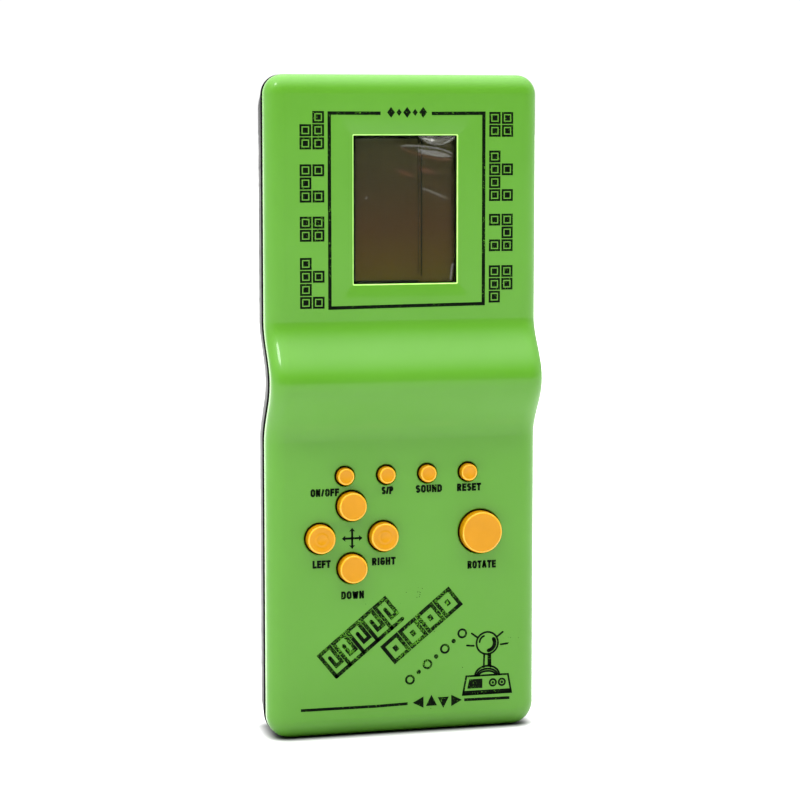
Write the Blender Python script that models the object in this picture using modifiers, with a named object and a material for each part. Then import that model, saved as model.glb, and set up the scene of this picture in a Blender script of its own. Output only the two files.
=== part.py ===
"""Handheld LCD game: two plastic shells, nine push buttons, display, board, cells and speaker.

Metres, +Z up. The game stands on its lower end with its face toward -Y. The origin is the
centre of the box around the game, on the surface that it stands on.
"""
import math

import bmesh
import bpy
from mathutils import Matrix, Vector

# ---- driving sizes -------------------------------------------------------------------------
BODY_WIDTH = 0.0780
BODY_HEIGHT = 0.1850
FACE_Y = -0.0077            # flat front of the face
BACK_Y = 0.0153             # flat back
SEAM_Y = -0.0015            # plane where the two shells meet
WALL = 0.0020
GAP = 0.0003                # space kept between touching pieces

WAVE_LIFT = 0.0076          # how far the middle of the body swells forward
WAVE_CENTRE_Z = 0.1004
WAVE_REACH = 0.0170
WAVE_STEPS = 10

CORNER_LOW = 0.0065
CORNER_HIGH = 0.0055
CORNER_MIN = 0.0012
CORNER_STEPS = 4
FACE_ROUND = 0.0043          # depth of the rounding from the side onto the face
FACE_ROUND_IN = 0.0052       # how far it reaches in over the face
FACE_ROUND_STEPS = 4

# The back rounds off on ellipses: (how far in, how deep)
BACK_ROUND_SIDE = (0.0085, 0.0138)
BACK_ROUND_LOW = (0.0040, 0.0050)
BACK_ROUND_HIGH = (0.0080, 0.0120)
BACK_ROUND_STEPS = 6
BACK_CORNER_GROWTH = 0.0040  # the corner radius grows by this much toward the back
BACK_CORNER_REACH = 0.0055   # over this depth behind the seam

LIP_SKIN = 0.0009           # outer skin of the front shell beside the rear shell's tongue
LIP_DEPTH = 0.0018
TONGUE_INSET = 0.0012
TONGUE_REACH = 0.0015

# ---- display -------------------------------------------------------------------------------
WINDOW_X = 0.0003
WINDOW_Z = 0.1478
WINDOW_SIZE = (0.0297, 0.0410)
DISH_MARGIN = 0.0045        # sloped picture-frame border around the window
DISH_DEPTH = 0.0005
GLASS_SIZE = (0.0350, 0.0480)
REAR_GLASS_HEIGHT = 0.0420
GLASS_THICK = 0.0009
LAYER_GAP = 0.00015
FILM_THICK = 0.00012
SHEET_THICK = 0.0002
FRAME_RIM = 0.0018

# ---- board ---------------------------------------------------------------------------------
BOARD_Y = -0.0013
BOARD_THICK = 0.0012
BOARD_HALF_WIDTH = 0.0295
BOARD_LOW_Z = 0.0434
BOARD_HIGH_Z = 0.1735
BOARD_BACK_Y = BOARD_Y + BOARD_THICK

# ---- buttons: name, x, z, cap radius, how far it stands out --------------------------------
BUTTONS = (
    ("button_on_off", -0.0174, 0.0740, 0.00240, 0.0020),
    ("button_start_pause", -0.0055, 0.0740, 0.00240, 0.0020),
    ("button_sound", 0.0064, 0.0740, 0.00240, 0.0020),
    ("button_reset", 0.0183, 0.0740, 0.00240, 0.0020),
    ("button_up", -0.0156, 0.0656, 0.00400, 0.0027),
    ("button_left", -0.0246, 0.0567, 0.00400, 0.0027),
    ("button_right", -0.0064, 0.0567, 0.00400, 0.0027),
    ("button_down", -0.0154, 0.0480, 0.00400, 0.0027),
    ("button_rotate", 0.0219, 0.0569, 0.00590, 0.0028),
)
BUTTON_CLEARANCE = 0.00045
BUTTON_EDGE = 0.0008
FLANGE_EXTRA = 0.0010
FLANGE_THICK = 0.0010
MAT_THICK = 0.0006

# ---- battery bay ---------------------------------------------------------------------------
CELL_RADIUS = 0.0071
CELL_BODY = 0.0492
CELL_NUB = 0.0012
CELL_NUB_RADIUS = 0.0027
CELL_ROWS_Z = (0.01623, 0.03117)
CELL_Y = 0.0058
BAY_HALF_WIDTH = 0.0285
BAY_LOW_Z = 0.0084
BAY_HIGH_Z = 0.0390
BAY_FLOOR_Y = -0.0016
BAY_WALL = 0.0019
BAY_FLOOR_THICK = 0.0014
COVER_THICK = 0.0016
COVER_HALF_WIDTH = 0.0298
COVER_LOW_Z = 0.0070
COVER_HIGH_Z = 0.0404
CONTACT_THICK = 0.0004

# ---- fasteners -----------------------------------------------------------------------------
CASE_SCREWS = ((-0.0336, 0.0140), (0.0336, 0.0140), (-0.0336, 0.1710), (0.0336, 0.1710))
CASE_BOSS_RADIUS = 0.0024
CASE_POST_RADIUS = 0.0034
CASE_WELL_RADIUS = 0.0025
CASE_SEAT_Y = 0.0020
CASE_SHANK_RADIUS = 0.0011
CASE_HEAD_RADIUS = 0.0021
BOARD_SCREWS = ((0.0045, 0.0500), (-0.0260, 0.0825), (0.0260, 0.0825), (-0.0260, 0.1215),
                (0.0260, 0.1215))
BOARD_BOSS_RADIUS = 0.0023
BOARD_SHANK_RADIUS = 0.0009
BOARD_HEAD_RADIUS = 0.0019

# ---- speaker -------------------------------------------------------------------------------
SPEAKER_Z = 0.1500
SPEAKER_RADIUS = 0.0135
SPEAKER_CERAMIC_RADIUS = 0.0090
SPEAKER_HOLE_RADIUS = 0.0009
SPEAKER_HOLE_RING = 0.0055
SPEAKER_HOLE_COUNT = 6

WIRE_RADIUS = 0.00055

for item in list(bpy.data.objects):
    bpy.data.objects.remove(item, do_unlink=True)


def new_collection(name):
    collection = bpy.data.collections.new(name)
    bpy.context.scene.collection.children.link(collection)
    return collection


PARTS = new_collection("handheld_lcd_game")
CUTTERS = new_collection("cutters")


# ---- materials -----------------------------------------------------------------------------
def make_material(name, colour, roughness, metallic=0.0):
    material = bpy.data.materials.new(name)
    material.use_nodes = True
    shader = next(n for n in material.node_tree.nodes if n.type == "BSDF_PRINCIPLED")
    shader.inputs["Base Color"].default_value = (*colour, 1.0)
    shader.inputs["Roughness"].default_value = roughness
    shader.inputs["Metallic"].default_value = metallic
    return material


GREEN = make_material("green_plastic", (0.15, 0.45, 0.045), 0.30)
BLACK = make_material("black_plastic", (0.008, 0.008, 0.009), 0.12)
ORANGE = make_material("orange_plastic", (0.85, 0.37, 0.02), 0.40)
RUBBER = make_material("grey_silicone", (0.35, 0.36, 0.36), 0.70)
BOARD = make_material("board_laminate", (0.30, 0.17, 0.06), 0.50)
EPOXY = make_material("black_epoxy", (0.012, 0.012, 0.013), 0.25)
GLASS = make_material("display_glass", (0.40, 0.44, 0.38), 0.05)
FILM = make_material("clear_film", (0.60, 0.60, 0.60), 0.08)
POLARISER = make_material("display_polariser", (0.050, 0.042, 0.022), 0.15)
REFLECTOR = make_material("display_reflector", (0.45, 0.45, 0.42), 0.35)
WHITE = make_material("white_plastic", (0.75, 0.75, 0.72), 0.45)
ZEBRA = make_material("contact_rubber", (0.10, 0.08, 0.09), 0.60)
STEEL = make_material("plated_steel", (0.62, 0.62, 0.60), 0.30, 1.0)
BRASS = make_material("speaker_brass", (0.66, 0.47, 0.20), 0.35, 1.0)
CERAMIC = make_material("speaker_ceramic", (0.72, 0.72, 0.70), 0.55)
CELL = make_material("cell_sleeve", (0.05, 0.10, 0.30), 0.35)
CAN = make_material("capacitor_sleeve", (0.03, 0.04, 0.09), 0.40)
RESISTOR = make_material("resistor_coating", (0.55, 0.40, 0.24), 0.50)
RED_WIRE = make_material("red_insulation", (0.55, 0.02, 0.02), 0.50)
BLACK_WIRE = make_material("black_insulation", (0.015, 0.015, 0.015), 0.50)


# ---- making and joining --------------------------------------------------------------------
def add_mesh(name, bm, material=None, sharp_degrees=35):
    """A part when it has a material, otherwise a cutter."""
    mesh = bpy.data.meshes.new(name)
    bmesh.ops.recalc_face_normals(bm, faces=bm.faces)
    bm.to_mesh(mesh)
    bm.free()
    mesh.shade_smooth()
    mesh.set_sharp_from_angle(angle=math.radians(sharp_degrees))
    obj = bpy.data.objects.new(name, mesh)
    if material is None:
        obj.hide_render = True
        obj.display_type = "WIRE"
        CUTTERS.objects.link(obj)
    else:
        mesh.materials.append(material)
        PARTS.objects.link(obj)
    return obj


def boolean(target, other, operation):
    modifier = target.modifiers.new(f"{operation.lower()}_{other.name}", "BOOLEAN")
    modifier.operation = operation
    modifier.solver = "EXACT"
    modifier.object = other


def cut(target, *others):
    for other in others:
        boolean(target, other, "DIFFERENCE")


def join(target, *others):
    for other in others:
        boolean(target, other, "UNION")


def soften(obj, width, segments=1):
    """Round the edges of a piece."""
    modifier = obj.modifiers.new("rounded_edges", "BEVEL")
    modifier.width = width
    modifier.segments = segments
    modifier.limit_method = "ANGLE"


def put_box(bm, low, high):
    low = Vector(low)
    high = Vector(high)
    place = Matrix.Translation((low + high) / 2) @ Matrix.Diagonal((*(high - low), 1.0))
    bmesh.ops.create_cube(bm, size=1.0, matrix=place)


def box(name, low, high, material=None, edge=0.0):
    bm = bmesh.new()
    put_box(bm, low, high)
    obj = add_mesh(name, bm, material)
    if edge:
        soften(obj, edge)
    return obj


def put_round(bm, x, z, radius, y_front, y_back, steps, radius_back=None):
    """A cylinder or cone along Y."""
    place = Matrix.Translation((x, (y_front + y_back) / 2, z)) @ Matrix.Rotation(-math.pi / 2, 4, "X")
    bmesh.ops.create_cone(bm, cap_ends=True, segments=steps, radius1=radius,
                          radius2=radius if radius_back is None else radius_back,
                          depth=y_back - y_front, matrix=place)


def rounds(name, spots, radius, y_front, y_back, steps=12, material=None):
    """Separate cylinders of one size along Y, in one object."""
    bm = bmesh.new()
    for x, z in spots:
        put_round(bm, x, z, radius, y_front, y_back, steps)
    return add_mesh(name, bm, material)


def turned(name, profile, steps, material, rotation, location):
    """Turn a profile of (radius, height) points, given from the top down, about its own Z."""
    mesh = bpy.data.meshes.new(name)
    points = [(radius, 0.0, height) for radius, height in profile]
    mesh.from_pydata(points, [(i, i + 1) for i in range(len(points) - 1)], [])
    mesh.materials.append(material)
    obj = bpy.data.objects.new(name, mesh)
    PARTS.objects.link(obj)
    screw = obj.modifiers.new("turning", "SCREW")
    screw.steps = steps
    screw.render_steps = steps
    screw.use_merge_vertices = True
    screw.merge_threshold = 0.00001
    screw.use_smooth_shade = True
    obj.rotation_euler = rotation
    obj.location = location
    return obj


OUTWARD = (math.pi / 2, 0.0, 0.0)      # own Z toward -Y
INWARD = (-math.pi / 2, 0.0, 0.0)      # own Z toward +Y
RIGHTWARD = (0.0, math.pi / 2, 0.0)    # own Z toward +X
LEFTWARD = (0.0, -math.pi / 2, 0.0)    # own Z toward -X


def tube(name, points, radius, material):
    """A wire through the points, as a poly curve with filled caps."""
    curve = bpy.data.curves.new(name, "CURVE")
    curve.dimensions = "3D"
    curve.bevel_depth = radius
    curve.bevel_resolution = 2
    curve.use_fill_caps = True
    spline = curve.splines.new("POLY")
    spline.points.add(len(points) - 1)
    for point, place in zip(spline.points, points):
        point.co = (*place, 1.0)
    curve.materials.append(material)
    obj = bpy.data.objects.new(name, curve)
    PARTS.objects.link(obj)
    return obj


def smooth_route(stops, steps=3):
    """Points along a Catmull-Rom curve through the stops."""
    stops = [Vector(stop) for stop in stops]
    padded = [stops[0] * 2 - stops[1], *stops, stops[-1] * 2 - stops[-2]]
    route = []
    for i in range(1, len(padded) - 2):
        a, b, c, d = padded[i - 1:i + 3]
        for step in range(steps):
            t = step / steps
            route.append(0.5 * (2 * b + (c - a) * t + (2 * a - 5 * b + 4 * c - d) * t * t
                                + (3 * b - a - 3 * c + d) * t ** 3))
    route.append(stops[-1])
    return route


# ---- the waved body ------------------------------------------------------------------------
def wave(z):
    """How far the body leans forward at this height: one raised cosine."""
    distance = abs(z - WAVE_CENTRE_Z)
    if distance >= WAVE_REACH:
        return 0.0
    return WAVE_LIFT * 0.5 * (1.0 + math.cos(math.pi * distance / WAVE_REACH))


def right_edge(side, low, high, growth=0.0):
    """(x, z) points up the right edge of a rounded rectangle that is inset from the body."""
    half = BODY_WIDTH / 2 - side
    radius_low = max(CORNER_LOW - max(side, low), CORNER_MIN) + growth
    radius_high = max(CORNER_HIGH - max(side, high), CORNER_MIN) + growth
    points = []
    for i in range(CORNER_STEPS + 1):
        angle = math.pi / 2 * (i / CORNER_STEPS - 1)
        points.append((half - radius_low + radius_low * math.cos(angle),
                       low + radius_low + radius_low * math.sin(angle)))
    for i in range(WAVE_STEPS + 1):
        points.append((half, WAVE_CENTRE_Z + WAVE_REACH * (2 * i / WAVE_STEPS - 1)))
    for i in range(CORNER_STEPS + 1):
        angle = math.pi / 2 * i / CORNER_STEPS
        points.append((half - radius_high + radius_high * math.cos(angle),
                       BODY_HEIGHT - high - radius_high + radius_high * math.sin(angle)))
    return points


def waved_block(name, sections, material=None):
    """Loft closed outlines, each (y, side inset, low inset, high inset[, corner growth]), and bend
    them in the wave.

    The end outlines are closed by strips across the width, so that they follow the wave too.
    """
    bm = bmesh.new()
    rings = []
    for y, *shape in sections:
        right = right_edge(*shape)
        outline = right + [(-x, z) for x, z in reversed(right)]
        rings.append([bm.verts.new((x, y - wave(z), z)) for x, z in outline])
    count = len(rings[0])
    for ring, following in zip(rings, rings[1:]):
        for i in range(count):
            j = (i + 1) % count
            bm.faces.new((ring[i], ring[j], following[j], following[i]))
    for ring in (rings[0], rings[-1]):
        for i in range(count // 2 - 1):
            bm.faces.new((ring[i], ring[i + 1], ring[count - 2 - i], ring[count - 1 - i]))
    return add_mesh(name, bm, material)


def face_round_sections(inset):
    """Outlines from the side of the front shell round onto its face."""
    reach, depth = FACE_ROUND_IN - inset, FACE_ROUND - inset
    sections = []
    for i in range(FACE_ROUND_STEPS + 1):
        angle = math.pi / 2 * i / FACE_ROUND_STEPS
        step_in = inset + reach * (1 - math.cos(angle))
        y = FACE_Y + inset + depth * (1 - math.sin(angle))
        sections.append((y, step_in, step_in, step_in))
    return sections


def back_inset(y, shape, inset):
    """How far an elliptical back edge has stepped in at this depth."""
    step_in, depth = shape[0] - inset, shape[1] - inset
    along = (y - (BACK_Y - inset - depth)) / depth
    if along <= 0:
        return inset
    return inset + step_in * (1 - math.sqrt(max(0.0, 1 - along * along)))


def back_round_sections(inset):
    """Outlines from the side of the rear shell round onto its back."""
    depth = BACK_ROUND_SIDE[1] - inset
    sections = []
    for i in range(BACK_ROUND_STEPS + 1):
        y = BACK_Y - inset - depth * (1 - math.sin(math.pi / 2 * i / BACK_ROUND_STEPS))
        insets = [back_inset(y, shape, inset) for shape in (BACK_ROUND_SIDE, BACK_ROUND_LOW, BACK_ROUND_HIGH)]
        sections.append((y, *insets, back_growth(y)))
    return sections


def back_growth(y):
    """How much rounder the corners of the rear shell are at this depth."""
    return BACK_CORNER_GROWTH * min(1.0, (y - SEAM_Y) / BACK_CORNER_REACH)


def front_shell():
    outer = waved_block("front_shell", [(SEAM_Y - GAP / 2, 0, 0, 0), *face_round_sections(0)], GREEN)
    step_y = SEAM_Y - LIP_DEPTH
    hollow = waved_block("front_hollow", [
        (SEAM_Y + LIP_DEPTH, LIP_SKIN, LIP_SKIN, LIP_SKIN),
        (step_y, LIP_SKIN, LIP_SKIN, LIP_SKIN),
        (step_y, WALL, WALL, WALL),
        *face_round_sections(WALL)])
    reach = FACE_Y - WAVE_LIFT - WALL
    boss_end = SEAM_Y - GAP / 2
    cut(hollow,
        rounds("case_bosses", CASE_SCREWS, CASE_BOSS_RADIUS, reach, boss_end),
        rounds("board_bosses", BOARD_SCREWS, BOARD_BOSS_RADIUS, reach, boss_end))
    cut(outer, hollow)

    pilot_depth = 0.0036
    pilots = bmesh.new()
    for spots, radius in ((CASE_SCREWS, CASE_SHANK_RADIUS), (BOARD_SCREWS, BOARD_SHANK_RADIUS)):
        for x, z in spots:
            put_round(pilots, x, z, radius + GAP, boss_end - pilot_depth, boss_end + GAP, 8)
    cut(outer, add_mesh("boss_pilots", pilots))

    openings = bmesh.new()
    for _, x, z, radius, _ in BUTTONS:
        put_round(openings, x, z, radius + BUTTON_CLEARANCE, FACE_Y - WALL, FACE_Y + 2 * WALL, 20)
    half_x, half_z = WINDOW_SIZE[0] / 2, WINDOW_SIZE[1] / 2
    put_box(openings, (WINDOW_X - half_x, FACE_Y - WALL, WINDOW_Z - half_z),
            (WINDOW_X + half_x, FACE_Y + 2 * WALL, WINDOW_Z + half_z))
    cut(outer, window_dish(half_x, half_z), add_mesh("face_openings", openings))
    return outer


def window_dish(half_x, half_z):
    """The shallow sloped border: a block that narrows toward the window."""
    bm = bmesh.new()
    put_box(bm, (WINDOW_X - half_x, FACE_Y - DISH_DEPTH, WINDOW_Z - half_z),
            (WINDOW_X + half_x, FACE_Y + DISH_DEPTH, WINDOW_Z + half_z))
    spread = 2 * DISH_MARGIN
    for vert in bm.verts:
        if vert.co.y < FACE_Y:
            vert.co.x += math.copysign(spread, vert.co.x - WINDOW_X)
            vert.co.z += math.copysign(spread, vert.co.z - WINDOW_Z)
    return add_mesh("window_dish", bm)


def rear_shell():
    start = SEAM_Y + GAP / 2
    outer = waved_block("rear_shell", [(start, 0, 0, 0), *back_round_sections(0)], BLACK)
    tongue = waved_block("rear_tongue", [(SEAM_Y - TONGUE_REACH, *(TONGUE_INSET,) * 3),
                                         (SEAM_Y + WALL, *(TONGUE_INSET,) * 3)])
    bay_half = BAY_HALF_WIDTH + 0.0023
    bay_low = (-bay_half, BAY_FLOOR_Y - BAY_FLOOR_THICK, BAY_LOW_Z - BAY_WALL)
    bay_high = (bay_half, BACK_Y - WALL / 2, BAY_HIGH_Z + BAY_WALL)
    bay_walls = box("bay_walls", bay_low, bay_high)
    join(outer, tongue, bay_walls)

    hollow = waved_block("rear_hollow", [(SEAM_Y - 3 * WALL, WALL, WALL, WALL),
                                         *back_round_sections(WALL)])
    posts = rounds("case_posts", CASE_SCREWS, CASE_POST_RADIUS, start, BACK_Y)
    bay_block = box("bay_block", bay_low, bay_high)
    cut(hollow, posts, bay_block)
    cut(outer, hollow)

    bay_room = box("bay_room", (-BAY_HALF_WIDTH, BAY_FLOOR_Y, BAY_LOW_Z),
                   (BAY_HALF_WIDTH, BACK_Y + WALL, BAY_HIGH_Z))
    recess = box("cover_recess",
                 (-COVER_HALF_WIDTH - GAP, BACK_Y - COVER_THICK - GAP, COVER_LOW_Z - GAP),
                 (COVER_HALF_WIDTH + GAP, BACK_Y + WALL, COVER_HIGH_Z + GAP))
    wells = rounds("screw_wells", CASE_SCREWS, CASE_WELL_RADIUS, CASE_SEAT_Y, BACK_Y + WALL)
    clearance = rounds("screw_clearance", CASE_SCREWS, CASE_SHANK_RADIUS + GAP,
                       SEAM_Y - WALL, CASE_SEAT_Y + WALL, 8)
    sound_spots = [(0.0, SPEAKER_Z)]
    for i in range(SPEAKER_HOLE_COUNT):
        angle = 2 * math.pi * i / SPEAKER_HOLE_COUNT
        sound_spots.append((SPEAKER_HOLE_RING * math.cos(angle),
                            SPEAKER_Z + SPEAKER_HOLE_RING * math.sin(angle)))
    sound = rounds("sound_holes", sound_spots, SPEAKER_HOLE_RADIUS, BACK_Y - 2 * WALL,
                   BACK_Y + WALL, 8)
    cut(outer, bay_room, recess, wells, clearance, sound, wire_holes())
    return outer


def battery_cover():
    cover = box("battery_cover", (-COVER_HALF_WIDTH, BACK_Y - COVER_THICK, COVER_LOW_Z),
                (COVER_HALF_WIDTH, BACK_Y, COVER_HIGH_Z), BLACK, 0.0003)
    grip = bmesh.new()
    for i in range(3):
        z = COVER_HIGH_Z - 0.0045 - 0.0022 * i
        put_box(grip, (-0.0060, BACK_Y - 0.0006, z - 0.0005), (0.0060, BACK_Y + 0.001, z + 0.0005))
    cut(cover, add_mesh("cover_grip", grip))
    return cover


# ---- buttons and keypad --------------------------------------------------------------------
def button(name, x, z, radius, stand_out):
    """A domed-edge cap with the flange that holds it in; its height is 0 at the face."""
    edge = BUTTON_EDGE
    flange_top = -WALL - GAP
    flange_radius = radius + FLANGE_EXTRA
    profile = [
        (0.0, stand_out),
        (radius - edge, stand_out),
        (radius - edge * (1 - math.sin(math.pi / 4)), stand_out - edge * (1 - math.cos(math.pi / 4))),
        (radius, stand_out - edge),
        (radius, flange_top),
        (flange_radius, flange_top),
        (flange_radius, flange_top - FLANGE_THICK),
        (0.0, flange_top - FLANGE_THICK),
    ]
    steps = 24 if radius > 0.005 else 20 if radius > 0.003 else 16
    return turned(name, profile, steps, ORANGE, OUTWARD, (x, FACE_Y, z))


def keypad_mat():
    """Silicone sheet on the board with a hollow dome under each button."""
    sheet_back = BOARD_Y - GAP
    sheet_front = sheet_back - MAT_THICK
    dome_top = FACE_Y + WALL + GAP + FLANGE_THICK + GAP
    mat = box("keypad_mat", (-0.0292, sheet_front, BOARD_LOW_Z + 0.0003),
              (0.0290, sheet_back, 0.0785), RUBBER)
    domes = bmesh.new()
    hollows = bmesh.new()
    for _, x, z, radius, _ in BUTTONS:
        base = min(radius + 0.0001, 0.0042)
        put_round(domes, x, z, base * 0.62, dome_top, sheet_back - MAT_THICK / 2, 12, base)
        put_round(hollows, x, z, base * 0.42, dome_top + 0.0007, sheet_back + MAT_THICK, 12, base * 0.86)
    boss_x, boss_z = BOARD_SCREWS[0]
    put_round(hollows, boss_x, boss_z, BOARD_BOSS_RADIUS + GAP, dome_top, sheet_back + MAT_THICK, 12)
    join(mat, add_mesh("mat_domes", domes))
    cut(mat, add_mesh("mat_hollows", hollows))
    return mat


# ---- display and board ---------------------------------------------------------------------
def centred_slab(name, y, thick, width, height, material, edge=0.0):
    """A flat piece behind the window; returns the depth at its back."""
    box(name, (WINDOW_X - width / 2, y, WINDOW_Z - height / 2),
        (WINDOW_X + width / 2, y + thick, WINDOW_Z + height / 2), material, edge)
    return y + thick


def display():
    width, height = GLASS_SIZE
    y = centred_slab("display_film", FACE_Y + WALL + LAYER_GAP, FILM_THICK, width - 0.002,
                     height - 0.003, FILM)
    y = centred_slab("polariser_front", y + LAYER_GAP, SHEET_THICK, width - 0.0016,
                     REAR_GLASS_HEIGHT, POLARISER)
    y = centred_slab("glass_front", y + LAYER_GAP, GLASS_THICK, width, height, GLASS)
    ledge_y = y
    y = centred_slab("glass_rear", y + LAYER_GAP, GLASS_THICK, width, REAR_GLASS_HEIGHT, GLASS)
    y = centred_slab("reflector", y + LAYER_GAP, SHEET_THICK, width - 0.0016,
                     REAR_GLASS_HEIGHT - 0.001, REFLECTOR)
    for name, side in (("zebra_strip_upper", 1), ("zebra_strip_lower", -1)):
        middle = WINDOW_Z + side * (height + REAR_GLASS_HEIGHT) / 4
        box(name, (WINDOW_X - 0.0165, ledge_y + GAP, middle - 0.0010),
            (WINDOW_X + 0.0165, BOARD_Y - GAP, middle + 0.0010), ZEBRA)

    inner_x, inner_z = width / 2 + GAP, height / 2 + GAP
    frame = box("display_frame",
                (WINDOW_X - inner_x - FRAME_RIM, FACE_Y + WALL + GAP, WINDOW_Z - inner_z - FRAME_RIM),
                (WINDOW_X + inner_x + FRAME_RIM, BOARD_Y - GAP, WINDOW_Z + inner_z + FRAME_RIM), WHITE)
    cut(frame, box("frame_opening", (WINDOW_X - inner_x, FACE_Y, WINDOW_Z - inner_z),
                   (WINDOW_X + inner_x, 0.0, WINDOW_Z + inner_z)))


def main_board():
    board = box("main_board", (-BOARD_HALF_WIDTH, BOARD_Y, BOARD_LOW_Z),
                (BOARD_HALF_WIDTH, BOARD_BACK_Y, BOARD_HIGH_Z), BOARD)
    cut(board, rounds("board_holes", BOARD_SCREWS, BOARD_SHANK_RADIUS + GAP, BOARD_Y - WALL,
                      BOARD_BACK_Y + WALL, 8))
    return board


def board_parts():
    seat = BOARD_BACK_Y + GAP
    blob_radius, blob_height = 0.0070, 0.0018
    dome = [(blob_radius * math.sin(a), blob_height * math.cos(a))
            for a in (math.pi / 2 * i / 4 for i in range(5))]
    turned("chip_blob", [*dome, (0.0, 0.0)], 16, EPOXY, INWARD, (-0.0020, seat, 0.1010))

    can_radius, can_length = 0.0025, 0.0074
    profile = [(0.0, can_length), (can_radius - 0.0004, can_length), (can_radius, can_length - 0.0004),
               (can_radius, 0.0012), (can_radius - 0.0003, 0.0009), (can_radius, 0.0006),
               (can_radius, 0.0), (0.0, 0.0)]
    turned("capacitor_can", profile, 12, CAN, RIGHTWARD, (0.0120, seat + can_radius, 0.1270))

    for name, z in (("resistor_upper", 0.0660), ("resistor_lower", 0.0600)):
        resistor(name, -0.0020, z, seat)
    box("ceramic_resonator", (0.0130, seat, 0.0940), (0.0205, seat + 0.0030, 0.0970), RESISTOR, 0.0005)
    box("ceramic_capacitor", (-0.0190, seat, 0.0895), (-0.0150, seat + 0.0032, 0.0910), RESISTOR, 0.0004)


def resistor(name, x, z, seat):
    """An axial resistor lying on the board, its leads bent down to it."""
    half_body, half_lead, radius, lead = 0.0030, 0.0048, 0.0011, 0.0003
    profile = [(0.0, half_lead), (lead, half_lead), (lead, half_body), (radius * 0.8, half_body),
               (radius, half_body - 0.0006), (radius * 0.85, half_body - 0.0016),
               (radius * 0.85, -half_body + 0.0016), (radius, -half_body + 0.0006),
               (radius * 0.8, -half_body), (lead, -half_body), (lead, -half_lead), (0.0, -half_lead)]
    body = turned(name, profile, 8, RESISTOR, RIGHTWARD, (x, seat + radius, z))
    legs = bmesh.new()
    for side in (-1, 1):
        put_round(legs, x + side * (half_lead - lead * 1.3), z, lead * 1.2, seat, seat + radius, 8)
    join(body, add_mesh(name + "_legs", legs))


# ---- cells and contacts --------------------------------------------------------------------
def cell(name, row_z, facing):
    """One AA cell; its raised end faces +X or -X."""
    end = BAY_HALF_WIDTH - CONTACT_THICK - 2 * GAP
    length = CELL_BODY
    crimp = 0.0008
    profile = [
        (0.0, length + CELL_NUB),
        (CELL_NUB_RADIUS, length + CELL_NUB),
        (CELL_NUB_RADIUS, length),
        (CELL_RADIUS - crimp, length),
        (CELL_RADIUS, length - crimp),
        (CELL_RADIUS, crimp),
        (CELL_RADIUS - crimp, 0.0),
        (0.0, 0.0),
    ]
    start = facing * (end - length - CELL_NUB)
    turned(name, profile, 16, CELL, RIGHTWARD if facing > 0 else LEFTWARD, (start, CELL_Y, row_z))
    return start


def contact_plate(name, side, low_z, high_z):
    outer = BAY_HALF_WIDTH - GAP
    x_low, x_high = sorted((side * outer, side * (outer - CONTACT_THICK)))
    box(name, (x_low, CELL_Y - 0.0045, low_z), (x_high, CELL_Y + 0.0040, high_z), STEEL)


def contact_spring(name, side, row_z, cell_end):
    """A conical spring between its plate and the flat end of a cell."""
    wire = 0.0003
    x_plate = side * (BAY_HALF_WIDTH - 2 * GAP - CONTACT_THICK - wire)
    x_cell = cell_end + side * (GAP + wire)
    turns, steps = 3.0, 8
    points = []
    for i in range(int(turns * steps) + 1):
        share = i / (turns * steps)
        angle = 2 * math.pi * i / steps
        radius = 0.0036 - 0.0014 * share
        points.append((x_plate + (x_cell - x_plate) * share, CELL_Y + radius * math.cos(angle),
                       row_z + radius * math.sin(angle)))
    tube(name, points, wire, STEEL)


WIRE_HOLE_X = 0.0272
WIRE_DEPTHS = (0.0085, 0.0118)       # depth of the black and the red battery wire at the bay wall


def wire_holes():
    """Two passages through the upper wall of the bay."""
    bm = bmesh.new()
    for y in WIRE_DEPTHS:
        place = Matrix.Translation((WIRE_HOLE_X, y, BAY_HIGH_Z + BAY_WALL / 2))
        bmesh.ops.create_cone(bm, cap_ends=True, segments=12, radius1=WIRE_RADIUS + GAP,
                              radius2=WIRE_RADIUS + GAP, depth=2 * BAY_WALL, matrix=place)
    return add_mesh("wire_holes", bm)


def power():
    low_row, high_row = CELL_ROWS_Z
    low_end = cell("cell_lower", low_row, 1)
    high_end = cell("cell_upper", high_row, -1)
    half = 0.0050
    contact_plate("contact_link", -1, low_row - half, high_row + half)
    contact_plate("contact_positive", 1, low_row - half, low_row + half)
    contact_plate("contact_negative", 1, high_row - half, high_row + half)
    contact_spring("spring_link", -1, low_row, low_end)
    contact_spring("spring_negative", 1, high_row, high_end)

    board = BOARD_BACK_Y + GAP
    x_plate = BAY_HALF_WIDTH - GAP - CONTACT_THICK / 2
    black_y, red_y = WIRE_DEPTHS
    tube("wire_negative", smooth_route([
        (x_plate, CELL_Y + 0.0026, high_row + half + GAP),
        (WIRE_HOLE_X, black_y, BAY_HIGH_Z - 0.0004),
        (WIRE_HOLE_X, black_y, BAY_HIGH_Z + BAY_WALL + 0.0015),
        (0.0250, 0.0070, 0.0450),
        (0.0200, 0.0040, 0.0490),
        (0.0180, 0.0015, 0.0500),
        (0.0180, board, 0.0500)]), WIRE_RADIUS, BLACK_WIRE)
    tube("wire_positive", smooth_route([
        (x_plate, CELL_Y + 0.0030, low_row + half + GAP),
        (x_plate - 0.0003, 0.0112, low_row + half + 0.0026),
        (WIRE_HOLE_X, red_y, high_row),
        (WIRE_HOLE_X, red_y, BAY_HIGH_Z - 0.0004),
        (WIRE_HOLE_X, red_y, BAY_HIGH_Z + BAY_WALL + 0.0015),
        (0.0262, 0.0095, 0.0480),
        (0.0250, 0.0055, 0.0530),
        (0.0240, 0.0020, 0.0550),
        (0.0240, board, 0.0550)]), WIRE_RADIUS, RED_WIRE)


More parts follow.
